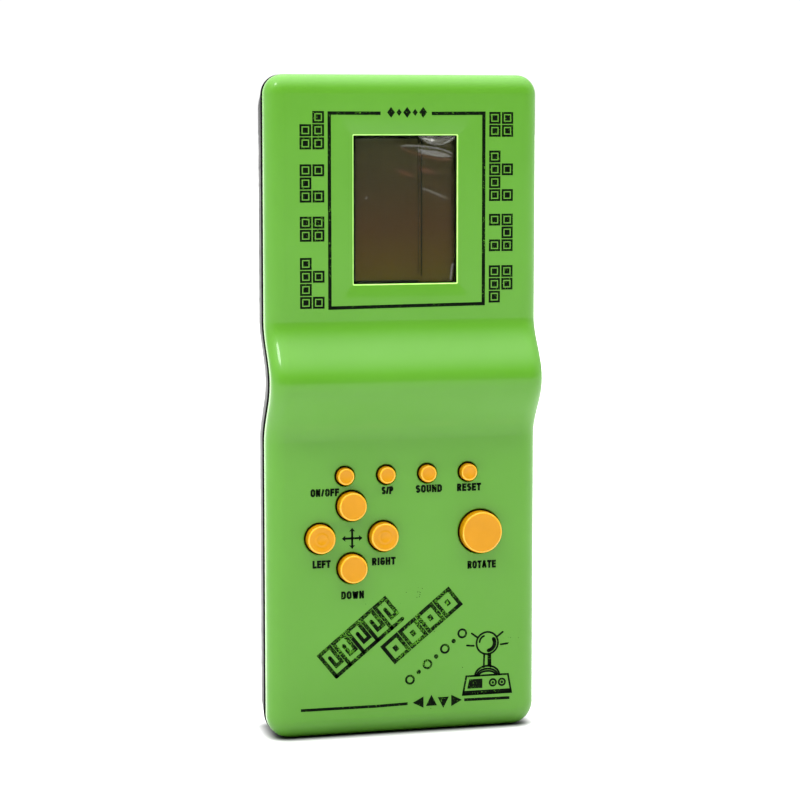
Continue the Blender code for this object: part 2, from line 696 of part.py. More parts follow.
# ---- speaker -------------------------------------------------------------------------------
def speaker():
    back = BACK_Y - WALL - GAP
    rounds("speaker_disc", [(0.0, SPEAKER_Z)], SPEAKER_RADIUS, back - 0.0003, back, 24, BRASS)
    rounds("speaker_ceramic", [(0.0, SPEAKER_Z)], SPEAKER_CERAMIC_RADIUS, back - 0.0003 - GAP - 0.0002,
           back - 0.0003 - GAP, 20, CERAMIC)
    board = BOARD_BACK_Y + GAP
    ceramic_front = back - 0.0003 - GAP - 0.0002
    tube("wire_speaker_inner", smooth_route([
        (-0.0040, ceramic_front - GAP, 0.1480),
        (-0.0040, ceramic_front - 0.0020, 0.1478),
        (-0.0060, 0.0070, 0.1440),
        (-0.0080, 0.0030, 0.1370),
        (-0.0085, 0.0015, 0.1360),
        (-0.0085, board, 0.1360)]), WIRE_RADIUS, RED_WIRE)
    tube("wire_speaker_outer", smooth_route([
        (0.0110, back - 0.0003 - GAP, 0.1460),
        (0.0110, back - 0.0030, 0.1456),
        (0.0095, 0.0070, 0.1420),
        (0.0075, 0.0030, 0.1370),
        (0.0070, 0.0015, 0.1360),
        (0.0070, board, 0.1360)]), WIRE_RADIUS, BLACK_WIRE)


# ---- screws --------------------------------------------------------------------------------
def screw(name, x, z, seat_y, head_radius, head_height, shank_radius, length):
    """A pan-head screw driven from the back; its height is 0 under the head."""
    profile = [
        (0.0, head_height),
        (head_radius * 0.62, head_height),
        (head_radius, head_height * 0.45),
        (head_radius, 0.0),
        (shank_radius, 0.0),
        (shank_radius, -length * 0.8),
        (0.0, -length),
    ]
    turned(name, profile, 10, STEEL, INWARD, (x, seat_y, z))


def screws():
    for place, (x, z) in zip(("lower_left", "lower_right", "upper_left", "upper_right"), CASE_SCREWS):
        screw("case_screw_" + place, x, z, CASE_SEAT_Y + GAP, CASE_HEAD_RADIUS, 0.0016,
              CASE_SHANK_RADIUS, 0.0070)
    places = ("middle", "left", "right", "upper_left", "upper_right")
    for place, (x, z) in zip(places, BOARD_SCREWS):
        screw("board_screw_" + place, x, z, BOARD_BACK_Y + GAP, BOARD_HEAD_RADIUS, 0.0013,
              BOARD_SHANK_RADIUS, 0.0046)


front_shell()
rear_shell()
battery_cover()
for name, x, z, radius, stand_out in BUTTONS:
    button(name, x, z, radius, stand_out)
keypad_mat()
display()
main_board()
board_parts()
power()
speaker()
screws()
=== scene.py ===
"""Handheld LCD game: the looks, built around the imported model.

Metres, +Z up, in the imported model's frame. The game stands on its lower end and faces -Y.
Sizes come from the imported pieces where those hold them.
"""
import math
import random

import bmesh
import bpy
from mathutils import Matrix, Vector


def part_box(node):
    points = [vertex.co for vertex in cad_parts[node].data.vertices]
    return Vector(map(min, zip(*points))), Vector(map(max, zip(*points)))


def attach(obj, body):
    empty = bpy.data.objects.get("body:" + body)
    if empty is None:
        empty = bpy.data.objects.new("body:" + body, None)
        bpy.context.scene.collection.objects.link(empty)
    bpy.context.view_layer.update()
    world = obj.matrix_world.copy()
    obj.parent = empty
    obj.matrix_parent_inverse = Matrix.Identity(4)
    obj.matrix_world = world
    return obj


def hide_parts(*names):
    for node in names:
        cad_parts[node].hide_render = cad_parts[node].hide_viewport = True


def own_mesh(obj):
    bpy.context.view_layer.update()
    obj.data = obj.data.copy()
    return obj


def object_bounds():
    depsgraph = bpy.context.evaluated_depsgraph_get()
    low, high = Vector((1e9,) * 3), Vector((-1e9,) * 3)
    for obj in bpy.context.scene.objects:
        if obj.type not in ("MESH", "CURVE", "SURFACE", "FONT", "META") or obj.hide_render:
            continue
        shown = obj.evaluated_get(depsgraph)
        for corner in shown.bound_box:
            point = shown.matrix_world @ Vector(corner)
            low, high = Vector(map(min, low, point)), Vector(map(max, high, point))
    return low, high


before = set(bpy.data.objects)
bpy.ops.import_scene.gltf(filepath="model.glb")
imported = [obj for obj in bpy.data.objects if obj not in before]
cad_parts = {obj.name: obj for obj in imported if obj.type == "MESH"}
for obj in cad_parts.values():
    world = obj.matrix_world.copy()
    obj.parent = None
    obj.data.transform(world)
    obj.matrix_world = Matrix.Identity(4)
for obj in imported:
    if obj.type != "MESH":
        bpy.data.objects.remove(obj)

CAD_LOW, CAD_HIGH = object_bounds()
MM = 0.001

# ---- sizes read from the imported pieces
FRONT_LOW, FRONT_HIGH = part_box("front_shell")
REAR_LOW, REAR_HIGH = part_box("rear_shell")
COVER_LOW, COVER_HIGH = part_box("battery_cover")
FILM_LOW, FILM_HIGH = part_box("display_film")
PANEL_LOW, PANEL_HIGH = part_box("polariser_front")

WAVE_LIFT = 7.6 * MM
WAVE_CENTRE_Z = 100.4 * MM
WAVE_REACH = 17.0 * MM
HALF_WIDTH = FRONT_HIGH.x
HEIGHT = FRONT_HIGH.z
FACE_Y = FRONT_LOW.y + WAVE_LIFT
FRONT_EDGE_Y = FRONT_HIGH.y
BACK_Y = REAR_HIGH.y
GAP = 0.3 * MM
SEAM_Y = FRONT_EDGE_Y + GAP / 2
WALL = 2.0 * MM

CORNER_LOW = 6.5 * MM
CORNER_HIGH = 5.5 * MM
CORNER_MIN = 1.2 * MM
FACE_ROUND = 4.3 * MM
FACE_ROUND_IN = 5.2 * MM
BACK_ROUND_SIDE = (8.5 * MM, 13.8 * MM)
BACK_ROUND_LOW = (4.0 * MM, 5.0 * MM)
BACK_ROUND_HIGH = (8.0 * MM, 12.0 * MM)
BACK_CORNER_GROWTH = 4.0 * MM
BACK_CORNER_REACH = 5.5 * MM
LIP_SKIN = 0.9 * MM
LIP_DEPTH = 1.8 * MM
TONGUE_INSET = 1.2 * MM
TONGUE_REACH = 1.5 * MM
LIP_ROUND = 0.35 * MM
GROOVE = 0.5 * MM
GROOVE_WIDTH = 1.5 * MM

# Fineness of the curved outlines
CORNER_STEPS = 12
WAVE_STEPS = 48
ROUND_STEPS = 10
ROUND_FEW = 5
BACK_STEPS = 18

WINDOW_X = (FILM_LOW.x + FILM_HIGH.x) / 2
WINDOW_Z = (FILM_LOW.z + FILM_HIGH.z) / 2
WINDOW_HALF_X = 29.7 * MM / 2
WINDOW_HALF_Z = 41.0 * MM / 2
DISH_MARGIN = 4.5 * MM
DISH_DEPTH = 0.5 * MM
EDGE_ROUND = 0.3 * MM

FLANGE_EXTRA = 1.0 * MM
FLANGE_THICK = 1.0 * MM
MAT_THICK = 0.6 * MM
DOME_WALL = 0.7 * MM
DOME_SPLIT = 0.02 * MM
BOSS_OPENING = 2.6 * MM
BUTTON_CLEARANCE = 0.45 * MM
BUTTON_EDGE = 0.6 * MM

CASE_WELL_RADIUS = 2.5 * MM
CASE_POST_RADIUS = 3.4 * MM
CASE_SHANK_RADIUS = 1.1 * MM
SPEAKER_Z = 150.0 * MM
SPEAKER_HOLE_RADIUS = 0.9 * MM
SPEAKER_HOLE_RING = 5.5 * MM
SPEAKER_HOLE_COUNT = 6


# ---- node helpers
class Nodes:
    """Shader nodes under construction in one tree; place is the vector that the patterns follow."""

    def __init__(self, tree, place="Object"):
        self.tree = tree
        self.place = self.node("ShaderNodeTexCoord").outputs[place]

    def node(self, kind, **settings):
        made = self.tree.nodes.new(kind)
        for key, value in settings.items():
            setattr(made, key, value)
        return made

    def join(self, source, target):
        self.tree.links.new(source, target)

    def stretched(self, scale, turn=(0.0, 0.0, 0.0)):
        """The place vector, scaled along each axis and turned."""
        mapping = self.node("ShaderNodeMapping")
        mapping.inputs["Scale"].default_value = scale
        mapping.inputs["Rotation"].default_value = turn
        self.join(self.place, mapping.inputs["Vector"])
        return mapping.outputs["Vector"]

    def noise(self, scale, detail=3.0, vector=None, distortion=0.0):
        made = self.node("ShaderNodeTexNoise")
        made.inputs["Scale"].default_value = scale
        made.inputs["Detail"].default_value = detail
        made.inputs["Distortion"].default_value = distortion
        self.join(vector or self.place, made.inputs["Vector"])
        return made.outputs["Fac"]

    def cells(self, scale, feature="F1", vector=None):
        made = self.node("ShaderNodeTexVoronoi", feature=feature)
        made.inputs["Scale"].default_value = scale
        self.join(vector or self.place, made.inputs["Vector"])
        return made.outputs["Distance"]

    def axis(self, letter):
        split = self.node("ShaderNodeSeparateXYZ")
        self.join(self.place, split.inputs["Vector"])
        return split.outputs[letter]

    def remap(self, value, low, high, to_low=0.0, to_high=1.0, smooth=False):
        made = self.node("ShaderNodeMapRange", interpolation_type="SMOOTHSTEP" if smooth else "LINEAR")
        for key, number in (("From Min", low), ("From Max", high), ("To Min", to_low), ("To Max", to_high)):
            made.inputs[key].default_value = number
        self.join(value, made.inputs["Value"])
        return made.outputs["Result"]

    def maths(self, operation, first, second):
        made = self.node("ShaderNodeMath", operation=operation)
        for socket, value in zip(made.inputs, (first, second)):
            if isinstance(value, (int, float)):
                socket.default_value = value
            else:
                self.join(value, socket)
        return made.outputs["Value"]

    def ramp(self, value, *stops):
        """A colour for the value; each stop is (position, (red, green, blue))."""
        made = self.node("ShaderNodeValToRGB")
        elements = made.color_ramp.elements
        while len(elements) < len(stops):
            elements.new(0.5)
        for element, (position, colour) in zip(elements, stops):
            element.position = position
            element.color = (*colour, 1.0)
        self.join(value, made.inputs["Fac"])
        return made.outputs["Color"]

    def mix(self, factor, first, second, blend="MIX"):
        """A mix of two colours, each a socket or (red, green, blue)."""
        made = self.node("ShaderNodeMix", data_type="RGBA", blend_type=blend)
        for socket, value in ((made.inputs[0], factor), (made.inputs[6], first), (made.inputs[7], second)):
            if isinstance(value, tuple):
                socket.default_value = (*value, 1.0)
            elif isinstance(value, (int, float)):
                socket.default_value = value
            else:
                self.join(value, socket)
        return made.outputs[2]


class Look(Nodes):
    """A material under construction, with its Principled shader."""

    def __init__(self, name, **sockets):
        self.material = bpy.data.materials.new(name)
        self.material.use_nodes = True
        super().__init__(self.material.node_tree)
        self.shader = next(n for n in self.tree.nodes if n.type == "BSDF_PRINCIPLED")
        for key, value in sockets.items():
            self.shader.inputs[key.replace("_", " ")].default_value = value

    def tones(self, scale, detail, dark, light):
        """Colour that wanders between two tones."""
        self.colour(self.ramp(self.noise(scale, detail), (0.3, dark), (0.7, light)))

    def gloss(self, scale, detail, low, high):
        """Roughness that wanders between two values."""
        self.roughness(self.remap(self.noise(scale, detail), 0.3, 0.7, low, high))

    def colour(self, source):
        self.join(source, self.shader.inputs["Base Color"])

    def roughness(self, source):
        self.join(source, self.shader.inputs["Roughness"])

    def bump(self, height, strength, distance):
        made = self.node("ShaderNodeBump")
        made.inputs["Strength"].default_value = strength
        made.inputs["Distance"].default_value = distance
        self.join(height, made.inputs["Height"])
        earlier = self.shader.inputs["Normal"].links
        if earlier:
            self.join(earlier[0].from_socket, made.inputs["Normal"])
        self.join(made.outputs["Normal"], self.shader.inputs["Normal"])


# ---- materials
def green_plastic():
    look = Look("green_gloss_plastic", IOR=1.5, Specular_IOR_Level=0.2, Coat_Weight=0.35, Coat_Roughness=0.12)
    cloud = look.noise(45.0, 4.0)
    tone = look.ramp(cloud, (0.3, (0.0675, 0.229, 0.0115)), (0.7, (0.0725, 0.239, 0.0145)))
    grime = look.noise(260.0, 6.0)
    tone = look.mix(look.remap(grime, 0.66, 0.80, 0.0, 0.08), tone, (0.066, 0.220, 0.012))
    # A duller, paler band across the foot of the wave
    height = look.axis("Z")
    pale_band = look.maths("MULTIPLY", look.remap(height, 0.0868, 0.0876, smooth=True),
                     look.remap(height, 0.0896, 0.0882, smooth=True))
    pale_band = look.maths("MULTIPLY", pale_band, look.remap(look.noise(90.0, 3.0), 0.38, 0.62))
    tone = look.mix(look.maths("MULTIPLY", pale_band, 0.2), tone, (0.10, 0.24, 0.02))
    look.colour(tone)
    look.gloss(320.0, 5.0, 0.40, 0.50)
    look.bump(look.noise(55.0, 1.0), 0.22, 0.0004)
    look.bump(look.noise(2600.0, 2.0), 0.05, 0.00004)
    return look.material


def black_plastic():
    look = Look("black_gloss_plastic", IOR=1.12)
    dust = look.remap(look.cells(900.0), 0.10, 0.04)
    tone = look.mix(look.maths("MULTIPLY", dust, 0.35), (0.003, 0.003, 0.003), (0.05, 0.05, 0.05))
    look.colour(tone)
    scuff = look.noise(30.0, 8.0, look.stretched((1.0, 1.0, 9.0), (0.0, 0.6, 0.0)))
    look.roughness(look.remap(scuff, 0.35, 0.75, 0.11, 0.27))
    look.bump(look.noise(50.0, 1.0), 0.2, 0.0004)
    return look.material


def textured_black_plastic():
    look = Look("black_textured_plastic", IOR=1.16)
    grain = look.noise(2200.0, 3.0)
    look.colour(look.ramp(grain, (0.35, (0.008, 0.008, 0.009)), (0.75, (0.020, 0.020, 0.021))))
    look.gloss(160.0, 5.0, 0.38, 0.52)
    look.bump(grain, 0.35, 0.00008)
    return look.material


def orange_plastic():
    look = Look("orange_plastic", IOR=1.33)
    cloud = look.noise(240.0, 4.0)
    tone = look.ramp(cloud, (0.3, (0.455, 0.196, 0.0)), (0.7, (0.49, 0.212, 0.0005)))
    pits = look.remap(look.cells(1500.0), 0.14, 0.06)
    tone = look.mix(look.maths("MULTIPLY", pits, 0.25), tone, (0.55, 0.20, 0.01))
    look.colour(tone)
    look.gloss(600.0, 5.0, 0.30, 0.44)
    look.bump(look.noise(900.0, 3.0), 0.08, 0.0001)
    return look.material


def ink(name, gap_low, gap_high):
    """Screen-printed black with gaps through which the plastic shows."""
    look = Look(name, IOR=1.5, Specular_IOR_Level=0.04)
    grit = look.remap(look.noise(2300.0, 5.0, distortion=0.6), gap_low, gap_high)
    patches = look.remap(look.noise(170.0, 3.0), 0.40, 0.62)
    gaps = look.maths("MULTIPLY", grit, patches)
    body = look.ramp(look.noise(700.0, 3.0), (0.3, (0.0005, 0.002, 0.0003)), (0.7, (0.002, 0.006, 0.001)))
    look.colour(look.mix(gaps, body, (0.07, 0.24, 0.014)))
    look.gloss(900.0, 2.0, 0.50, 0.65)
    return look.material


def board_laminate():
    """Brown paper laminate with copper tracks under the lacquer."""
    look = Look("board_laminate", IOR=1.5)
    fibre = look.noise(500.0, 5.0, look.stretched((1.0, 1.0, 0.15)))
    base = look.ramp(fibre, (0.3, (0.26, 0.14, 0.05)), (0.7, (0.36, 0.21, 0.09)))
    tracks = look.remap(look.noise(230.0, 0.0, look.stretched((1.0, 1.0, 0.35))), 0.50, 0.52)
    look.colour(look.mix(tracks, base, (0.10, 0.16, 0.05)))
    look.roughness(look.remap(fibre, 0.3, 0.7, 0.35, 0.55))
    look.bump(tracks, 0.3, 0.00005)
    return look.material


def clear_film():
    """Thin clear film: see-through, apart from a whitish painted sheen along its creases that stands for their
    reflections.
    """
    look = Look("clear_film", IOR=1.09)
    painted_sheen = look.node("ShaderNodeAttribute", attribute_name="painted_sheen")
    uneven = look.remap(look.noise(1500.0, 3.0), 0.3, 0.7, 0.75, 1.25)
    amount = look.maths("MULTIPLY", painted_sheen.outputs["Alpha"], uneven)
    clear = look.ramp(look.noise(120.0, 3.0), (0.3, (0.95, 0.95, 0.95)), (0.7, (0.99, 0.99, 0.99)))
    look.colour(look.mix(look.remap(amount, 0.0, 0.02), clear, painted_sheen.outputs["Color"]))
    look.join(look.remap(amount, 0.0, 1.0, 1.0, 0.0), look.shader.inputs["Transmission Weight"])
    look.gloss(200.0, 3.0, 0.01, 0.04)
    return look.material


def display_panel():
    """The dark switched-off display: olive grey above, brown below."""
    look = Look("display_panel", IOR=1.08)
    height = look.maths("ADD", look.axis("Z"), look.maths("MULTIPLY", look.noise(38.0, 2.0), 0.010))
    low, high = PANEL_LOW.z + 0.006, PANEL_HIGH.z + 0.004
    tone = look.ramp(look.remap(height, low, high),
                     (0.00, (0.058, 0.048, 0.008)), (0.14, (0.053, 0.037, 0.009)),
                     (0.38, (0.045, 0.028, 0.011)), (0.70, (0.035, 0.028, 0.012)),
                     (1.00, (0.031, 0.031, 0.012)))
    # The light does not reach under the right edge of the window
    shade = look.remap(look.axis("X"), WINDOW_X + 0.0128, WINDOW_X + 0.0150, smooth=True)
    tone = look.mix(look.maths("MULTIPLY", shade, 0.7), tone, (0.010, 0.014, 0.004))
    stain = look.remap(look.noise(70.0, 1.0), 0.58, 0.72, 0.0, 0.25)
    look.colour(look.mix(stain, tone, (0.080, 0.038, 0.018)))
    look.gloss(500.0, 3.0, 0.22, 0.36)
    return look.material


def striped_rubber():
    """Layers of conducting and insulating rubber, standing across the strip."""
    look = Look("striped_rubber", IOR=1.45)
    bands = look.node("ShaderNodeTexWave", wave_type="BANDS", bands_direction="X")
    bands.inputs["Scale"].default_value = 1200.0
    look.join(look.place, bands.inputs["Vector"])
    look.colour(look.ramp(bands.outputs["Fac"], (0.45, (0.02, 0.02, 0.02)), (0.55, (0.42, 0.20, 0.18))))
    look.gloss(800.0, 3.0, 0.55, 0.7)
    return look.material


def metal(name, dark, light, roughness_low, roughness_high, tarnish):
    look = Look(name, Metallic=1.0)
    brushed = look.noise(700.0, 6.0, look.stretched((1.0, 1.0, 6.0)))
    tone = look.ramp(brushed, (0.3, dark), (0.7, light))
    look.colour(look.mix(look.remap(look.noise(420.0, 5.0), 0.55, 0.78, 0.0, 0.6), tone, tarnish))
    look.roughness(look.remap(brushed, 0.3, 0.7, roughness_low, roughness_high))
    look.bump(brushed, 0.08, 0.00005)
    return look.material


def cell_sleeve():
    """Printed sleeve: blue in the middle, then a pale ring and a dark band toward each end."""
    look = Look("cell_sleeve", IOR=1.5)
    reach = look.node("ShaderNodeMath", operation="ABSOLUTE")
    look.join(look.axis("X"), reach.inputs[0])
    along = look.remap(reach.outputs["Value"], 0.0, 0.028)
    scuffs = look.remap(look.noise(350.0, 6.0, look.stretched((4.0, 1.0, 1.0))), 0.58, 0.75, 0.0, 0.5)
    tone = look.ramp(along, (0.0, (0.018, 0.050, 0.22)), (0.50, (0.018, 0.050, 0.22)),
                     (0.505, (0.62, 0.62, 0.60)), (0.56, (0.62, 0.62, 0.60)),
                     (0.565, (0.030, 0.030, 0.034)), (1.0, (0.030, 0.030, 0.034)))
    look.colour(look.mix(scuffs, tone, (0.30, 0.31, 0.34)))
    look.gloss(500.0, 4.0, 0.22, 0.40)
    look.bump(look.noise(800.0, 3.0), 0.06, 0.0001)
    return look.material


def plain(name, tones, gloss, bump=None, **sockets):
    """A look in two tones with an uneven gloss; bump is (noise scale, detail, strength, distance)."""
    look = Look(name, **sockets)
    look.tones(*tones)
    look.gloss(*gloss)
    if bump:
        look.bump(look.noise(*bump[:2]), *bump[2:])
    return look.material


def sleeve(name, dark, light, gloss_low, gloss_high, scale):
    return plain(name, (scale, 4.0, dark, light), (scale * 2, 3.0, gloss_low, gloss_high),
                 (scale * 3, 3.0, 0.12, 0.0001), IOR=1.48)


GREEN = green_plastic()
# The same plastic made lighter as a painted highlight on the window's rim, and a lighter, glossier copy on the
# wall beside the seam whose lighter colour is a painted highlight
GREEN_RIM_HIGHLIGHT = plain("green_plastic_rim_highlight", (400.0, 4.0, (0.36, 0.74, 0.12), (0.46, 0.84, 0.20)),
                   (500.0, 3.0, 0.18, 0.28), IOR=1.5)
GREEN_LIP_GLOSS_AND_HIGHLIGHT = plain("green_plastic_polished_and_highlit", (400.0, 4.0, (0.11, 0.36, 0.018), (0.13, 0.39, 0.026)),
                  (500.0, 3.0, 0.14, 0.22), IOR=1.8)
CELL_SLEEVE = cell_sleeve()
BLACK = black_plastic()
BLACK_TEXTURED = textured_black_plastic()
ORANGE = orange_plastic()
# A painted highlight on the rim of a key's top, and painted shade on the sides down in their gaps
ORANGE_EDGE = plain("orange_plastic_edge", (600.0, 4.0, (0.70, 0.33, 0.01), (0.76, 0.40, 0.02)),
                    (700.0, 3.0, 0.22, 0.32), IOR=1.5)
ORANGE_PAINTED_SHADE = plain("orange_plastic_painted_shade", (900.0, 4.0, (0.030, 0.008, 0.0), (0.075, 0.022, 0.001)),
                     (700.0, 3.0, 0.55, 0.7), IOR=1.4, Specular_IOR_Level=0.2)
SILICONE = plain("grey_silicone", (180.0, 4.0, (0.30, 0.31, 0.31), (0.38, 0.39, 0.39)),
                 (500.0, 3.0, 0.58, 0.76), (1400.0, 2.0, 0.15, 0.0001), IOR=1.41, Subsurface_Weight=0.1)
EPOXY = plain("black_epoxy", (400.0, 3.0, (0.010, 0.010, 0.011), (0.022, 0.021, 0.022)),
              (300.0, 4.0, 0.18, 0.34), (260.0, 2.0, 0.3, 0.0002), IOR=1.55)
# Dark ink for the display's lines; the same dark colour is painted shade on the panel's borders and the
# window's walls
DARK_LINE_AND_SHADE = plain("dark_line_and_painted_shade", (900.0, 3.0, (0.002, 0.004, 0.0), (0.005, 0.009, 0.001)),
                     (700.0, 3.0, 0.55, 0.7), IOR=1.5, Specular_IOR_Level=0.1)
GLASS = plain("display_glass", (90.0, 3.0, (0.70, 0.76, 0.70), (0.80, 0.85, 0.80)),
              (150.0, 3.0, 0.02, 0.06), IOR=1.5, Transmission_Weight=0.9)
REFLECTOR = plain("display_reflector", (900.0, 3.0, (0.42, 0.43, 0.38), (0.52, 0.53, 0.48)),
                  (1200.0, 3.0, 0.32, 0.46), IOR=1.45, Metallic=0.6)
WHITE = plain("white_plastic", (120.0, 4.0, (0.68, 0.68, 0.64), (0.77, 0.77, 0.74)),
              (500.0, 4.0, 0.38, 0.52), (1500.0, 3.0, 0.1, 0.0001), IOR=1.5)
CERAMIC = plain("speaker_ceramic", (900.0, 5.0, (0.64, 0.64, 0.62), (0.76, 0.76, 0.74)),
                (900.0, 3.0, 0.5, 0.65), IOR=1.6)
INK = ink("printing_ink", 0.60, 0.68)
WORN_INK = ink("worn_printing_ink", 0.50, 0.58)
STEEL = metal("plated_steel", (0.52, 0.52, 0.50), (0.70, 0.70, 0.68), 0.22, 0.38, (0.40, 0.37, 0.31))
BRASS = metal("speaker_brass", (0.58, 0.40, 0.16), (0.74, 0.54, 0.26), 0.26, 0.42, (0.42, 0.27, 0.12))

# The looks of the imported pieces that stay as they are
NODE_LOOKS = (
    ("polariser_front", display_panel()),
    ("glass_front glass_rear", GLASS),
    ("reflector", REFLECTOR),
    ("display_frame", WHITE),
    ("zebra_strip_upper zebra_strip_lower", striped_rubber()),
    ("main_board", board_laminate()),
    ("chip_blob", EPOXY),
    ("capacitor_can",
     sleeve("capacitor_sleeve", (0.018, 0.024, 0.060), (0.035, 0.044, 0.10), 0.3, 0.45, 300.0)),
    ("ceramic_capacitor", sleeve("dipped_ceramic", (0.50, 0.24, 0.06), (0.62, 0.32, 0.09), 0.35, 0.5, 500.0)),
    ("ceramic_resonator", sleeve("resonator_case", (0.10, 0.16, 0.34), (0.14, 0.21, 0.42), 0.35, 0.5, 500.0)),
    ("resistor_upper resistor_lower",
     sleeve("resistor_coating", (0.50, 0.36, 0.20), (0.62, 0.47, 0.29), 0.4, 0.55, 500.0)),
    ("speaker_disc", BRASS),
    ("speaker_ceramic", CERAMIC),
    ("wire_positive wire_speaker_inner",
     sleeve("red_insulation", (0.48, 0.014, 0.012), (0.60, 0.024, 0.018), 0.35, 0.5, 700.0)),
    ("wire_negative wire_speaker_outer",
     sleeve("black_insulation", (0.010, 0.010, 0.010), (0.022, 0.022, 0.022), 0.35, 0.5, 700.0)),
    ("contact_link contact_positive contact_negative spring_link spring_negative board_screw_middle"
     " board_screw_left board_screw_right board_screw_upper_left board_screw_upper_right", STEEL),
)


def dress_frame():
    for nodes, material in NODE_LOOKS:
        for node in nodes.split():
            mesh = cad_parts[node].data
            mesh.materials.clear()
            mesh.materials.append(material)


# ---- making pieces
def place_object(name, data):
    obj = bpy.data.objects.new(name, data)
    bpy.context.scene.collection.objects.link(obj)
    return obj


def add_object(name, bm, material=None):
    mesh = bpy.data.meshes.new(name)
    bmesh.ops.recalc_face_normals(bm, faces=bm.faces)
    bm.to_mesh(mesh)
    bm.free()
    mesh.shade_smooth()
    if material:
        mesh.materials.append(material)
    return place_object(name, mesh)


def carve(target, operation, *tools):
    """Apply a boolean of each tool to the target, and remove the tools."""
    for tool in tools:
        modifier = target.modifiers.new(tool.name, "BOOLEAN")
        modifier.operation = operation
        modifier.solver = "EXACT"
        modifier.object = tool
    bpy.context.view_layer.update()
    evaluated = target.evaluated_get(bpy.context.evaluated_depsgraph_get())
    made = bpy.data.meshes.new_from_object(evaluated)
    target.modifiers.clear()
    target.data = made
    for tool in tools:
        bpy.data.objects.remove(tool, do_unlink=True)


def crisp(obj, degrees=32):
    """Keep flat areas flat and hard edges hard under smooth shading."""
    obj.data.shade_smooth()
    obj.data.set_sharp_from_angle(angle=math.radians(degrees))
    modifier = obj.modifiers.new("even_normals", "WEIGHTED_NORMAL")
    modifier.keep_sharp = True
    modifier.weight = 90


def settle(obj, body, slot, *nodes):
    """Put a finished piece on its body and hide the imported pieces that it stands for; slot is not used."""
    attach(obj, body)
    if nodes:
        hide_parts(*nodes)
    return obj


def put_box(bm, low, high):
    low, high = Vector(low), Vector(high)
    place = Matrix.Translation((low + high) / 2) @ Matrix.Diagonal((*(high - low), 1.0))
    bmesh.ops.create_cube(bm, size=1.0, matrix=place)


def box(name, low, high):
    bm = bmesh.new()
    put_box(bm, low, high)
    return add_object(name, bm)


def skin(bm, rings):
    """Faces between each outline and the next."""
    for ring, following in zip(rings, rings[1:]):
        for i in range(len(ring)):
            j = (i + 1) % len(ring)
            bm.faces.new(dict.fromkeys((ring[i], ring[j], following[j], following[i])))


def quarter(steps, first=0):
    """(sine, cosine) over a quarter turn, from the first step on."""
    angles = [math.pi / 2 * i / steps for i in range(first, steps + 1)]
    return [(math.sin(angle), math.cos(angle)) for angle in angles]


def put_turned(bm, x, z, profile, steps):
    """A solid turned about an axis along Y, from (radius, y) points."""
    angles = [2 * math.pi * i / steps for i in range(steps)]
    turns = [(math.cos(angle), math.sin(angle)) for angle in angles]
    rings = []
    for radius, y in profile:
        if radius == 0:
            rings.append([bm.verts.new((x, y, z))] * steps)
        else:
            rings.append([bm.verts.new((x + radius * u, y, z + radius * v)) for u, v in turns])
    skin(bm, rings)
    for ring in (rings[0], rings[-1]):
        if len(set(ring)) > 1:
            bm.faces.new(ring)


def turned(name, spots, profile, steps, material=None):
    """The same turned solid at several (x, z) places."""
    bm = bmesh.new()
    for x, z in spots:
        put_turned(bm, x, z, profile, steps)
    return add_object(name, bm, material)


def flared_hole(radius, face_y, inner_y, outward):
    """Profile of a hole cutter that leaves a rounded rim; outward is -1 on the face, 1 on the back."""
    profile = [(radius, inner_y), (radius, face_y - outward * EDGE_ROUND)]
    profile += [(radius + EDGE_ROUND * (1 - cosine), face_y - outward * EDGE_ROUND * (1 - sine))
                for sine, cosine in quarter(ROUND_FEW, 1)]
    rim = radius + EDGE_ROUND
    return [*profile[:-1], (rim, face_y), (rim + EDGE_ROUND, face_y + outward * EDGE_ROUND)]


# ---- the waved body
def wave(z):
    """How far the body leans forward at this height: one raised cosine."""
    distance = abs(z - WAVE_CENTRE_Z)
    if distance >= WAVE_REACH:
        return 0.0
    return WAVE_LIFT * 0.5 * (1.0 + math.cos(math.pi * distance / WAVE_REACH))


def right_edge(side, low, high, growth=0.0):
    """(x, z) points up the right edge of a rounded rectangle that is inset from the body."""
    half = HALF_WIDTH - side
    radius_low = max(CORNER_LOW - max(side, low), CORNER_MIN) + growth
    radius_high = max(CORNER_HIGH - max(side, high), CORNER_MIN) + growth

    def bend(z, radius, start):
        angles = [math.pi / 2 * (start + i / CORNER_STEPS) for i in range(CORNER_STEPS + 1)]
        return [(half - radius + radius * math.cos(a), z + radius * math.sin(a)) for a in angles]

    return [*bend(low + radius_low, radius_low, -1),
            *((half, WAVE_CENTRE_Z + WAVE_REACH * (2 * i / WAVE_STEPS - 1)) for i in range(WAVE_STEPS + 1)),
            *bend(HEIGHT - high - radius_high, radius_high, 0)]


def waved_block(name, sections, material=None):
    """Loft closed outlines, each (y, side inset, low inset, high inset[, corner growth]), in the wave."""
    bm = bmesh.new()
    rings = []
    for y, *shape in sections:
        right = right_edge(*shape)
        outline = right + [(-x, z) for x, z in reversed(right)]
        rings.append([bm.verts.new((x, y - wave(z), z)) for x, z in outline])
    skin(bm, rings)
    count = len(rings[0])
    for ring in (rings[0], rings[-1]):
        for i in range(count // 2 - 1):
            bm.faces.new((ring[i], ring[i + 1], ring[count - 2 - i], ring[count - 1 - i]))
    return add_object(name, bm, material)


def face_round_sections(inset):
    """Outlines from the side of the front shell round onto its face."""
    reach, depth = FACE_ROUND_IN - inset, FACE_ROUND - inset
    return [(FACE_Y + inset + depth * (1 - sine), *(inset + reach * (1 - cosine),) * 3)
            for sine, cosine in quarter(ROUND_STEPS)]


def back_inset(y, shape, inset):
    """How far an elliptical back edge has stepped in at this depth."""
    step_in, depth = shape[0] - inset, shape[1] - inset
    along = (y - (BACK_Y - inset - depth)) / depth
    if along <= 0:
        return inset
    return inset + step_in * (1 - math.sqrt(max(0.0, 1 - along * along)))


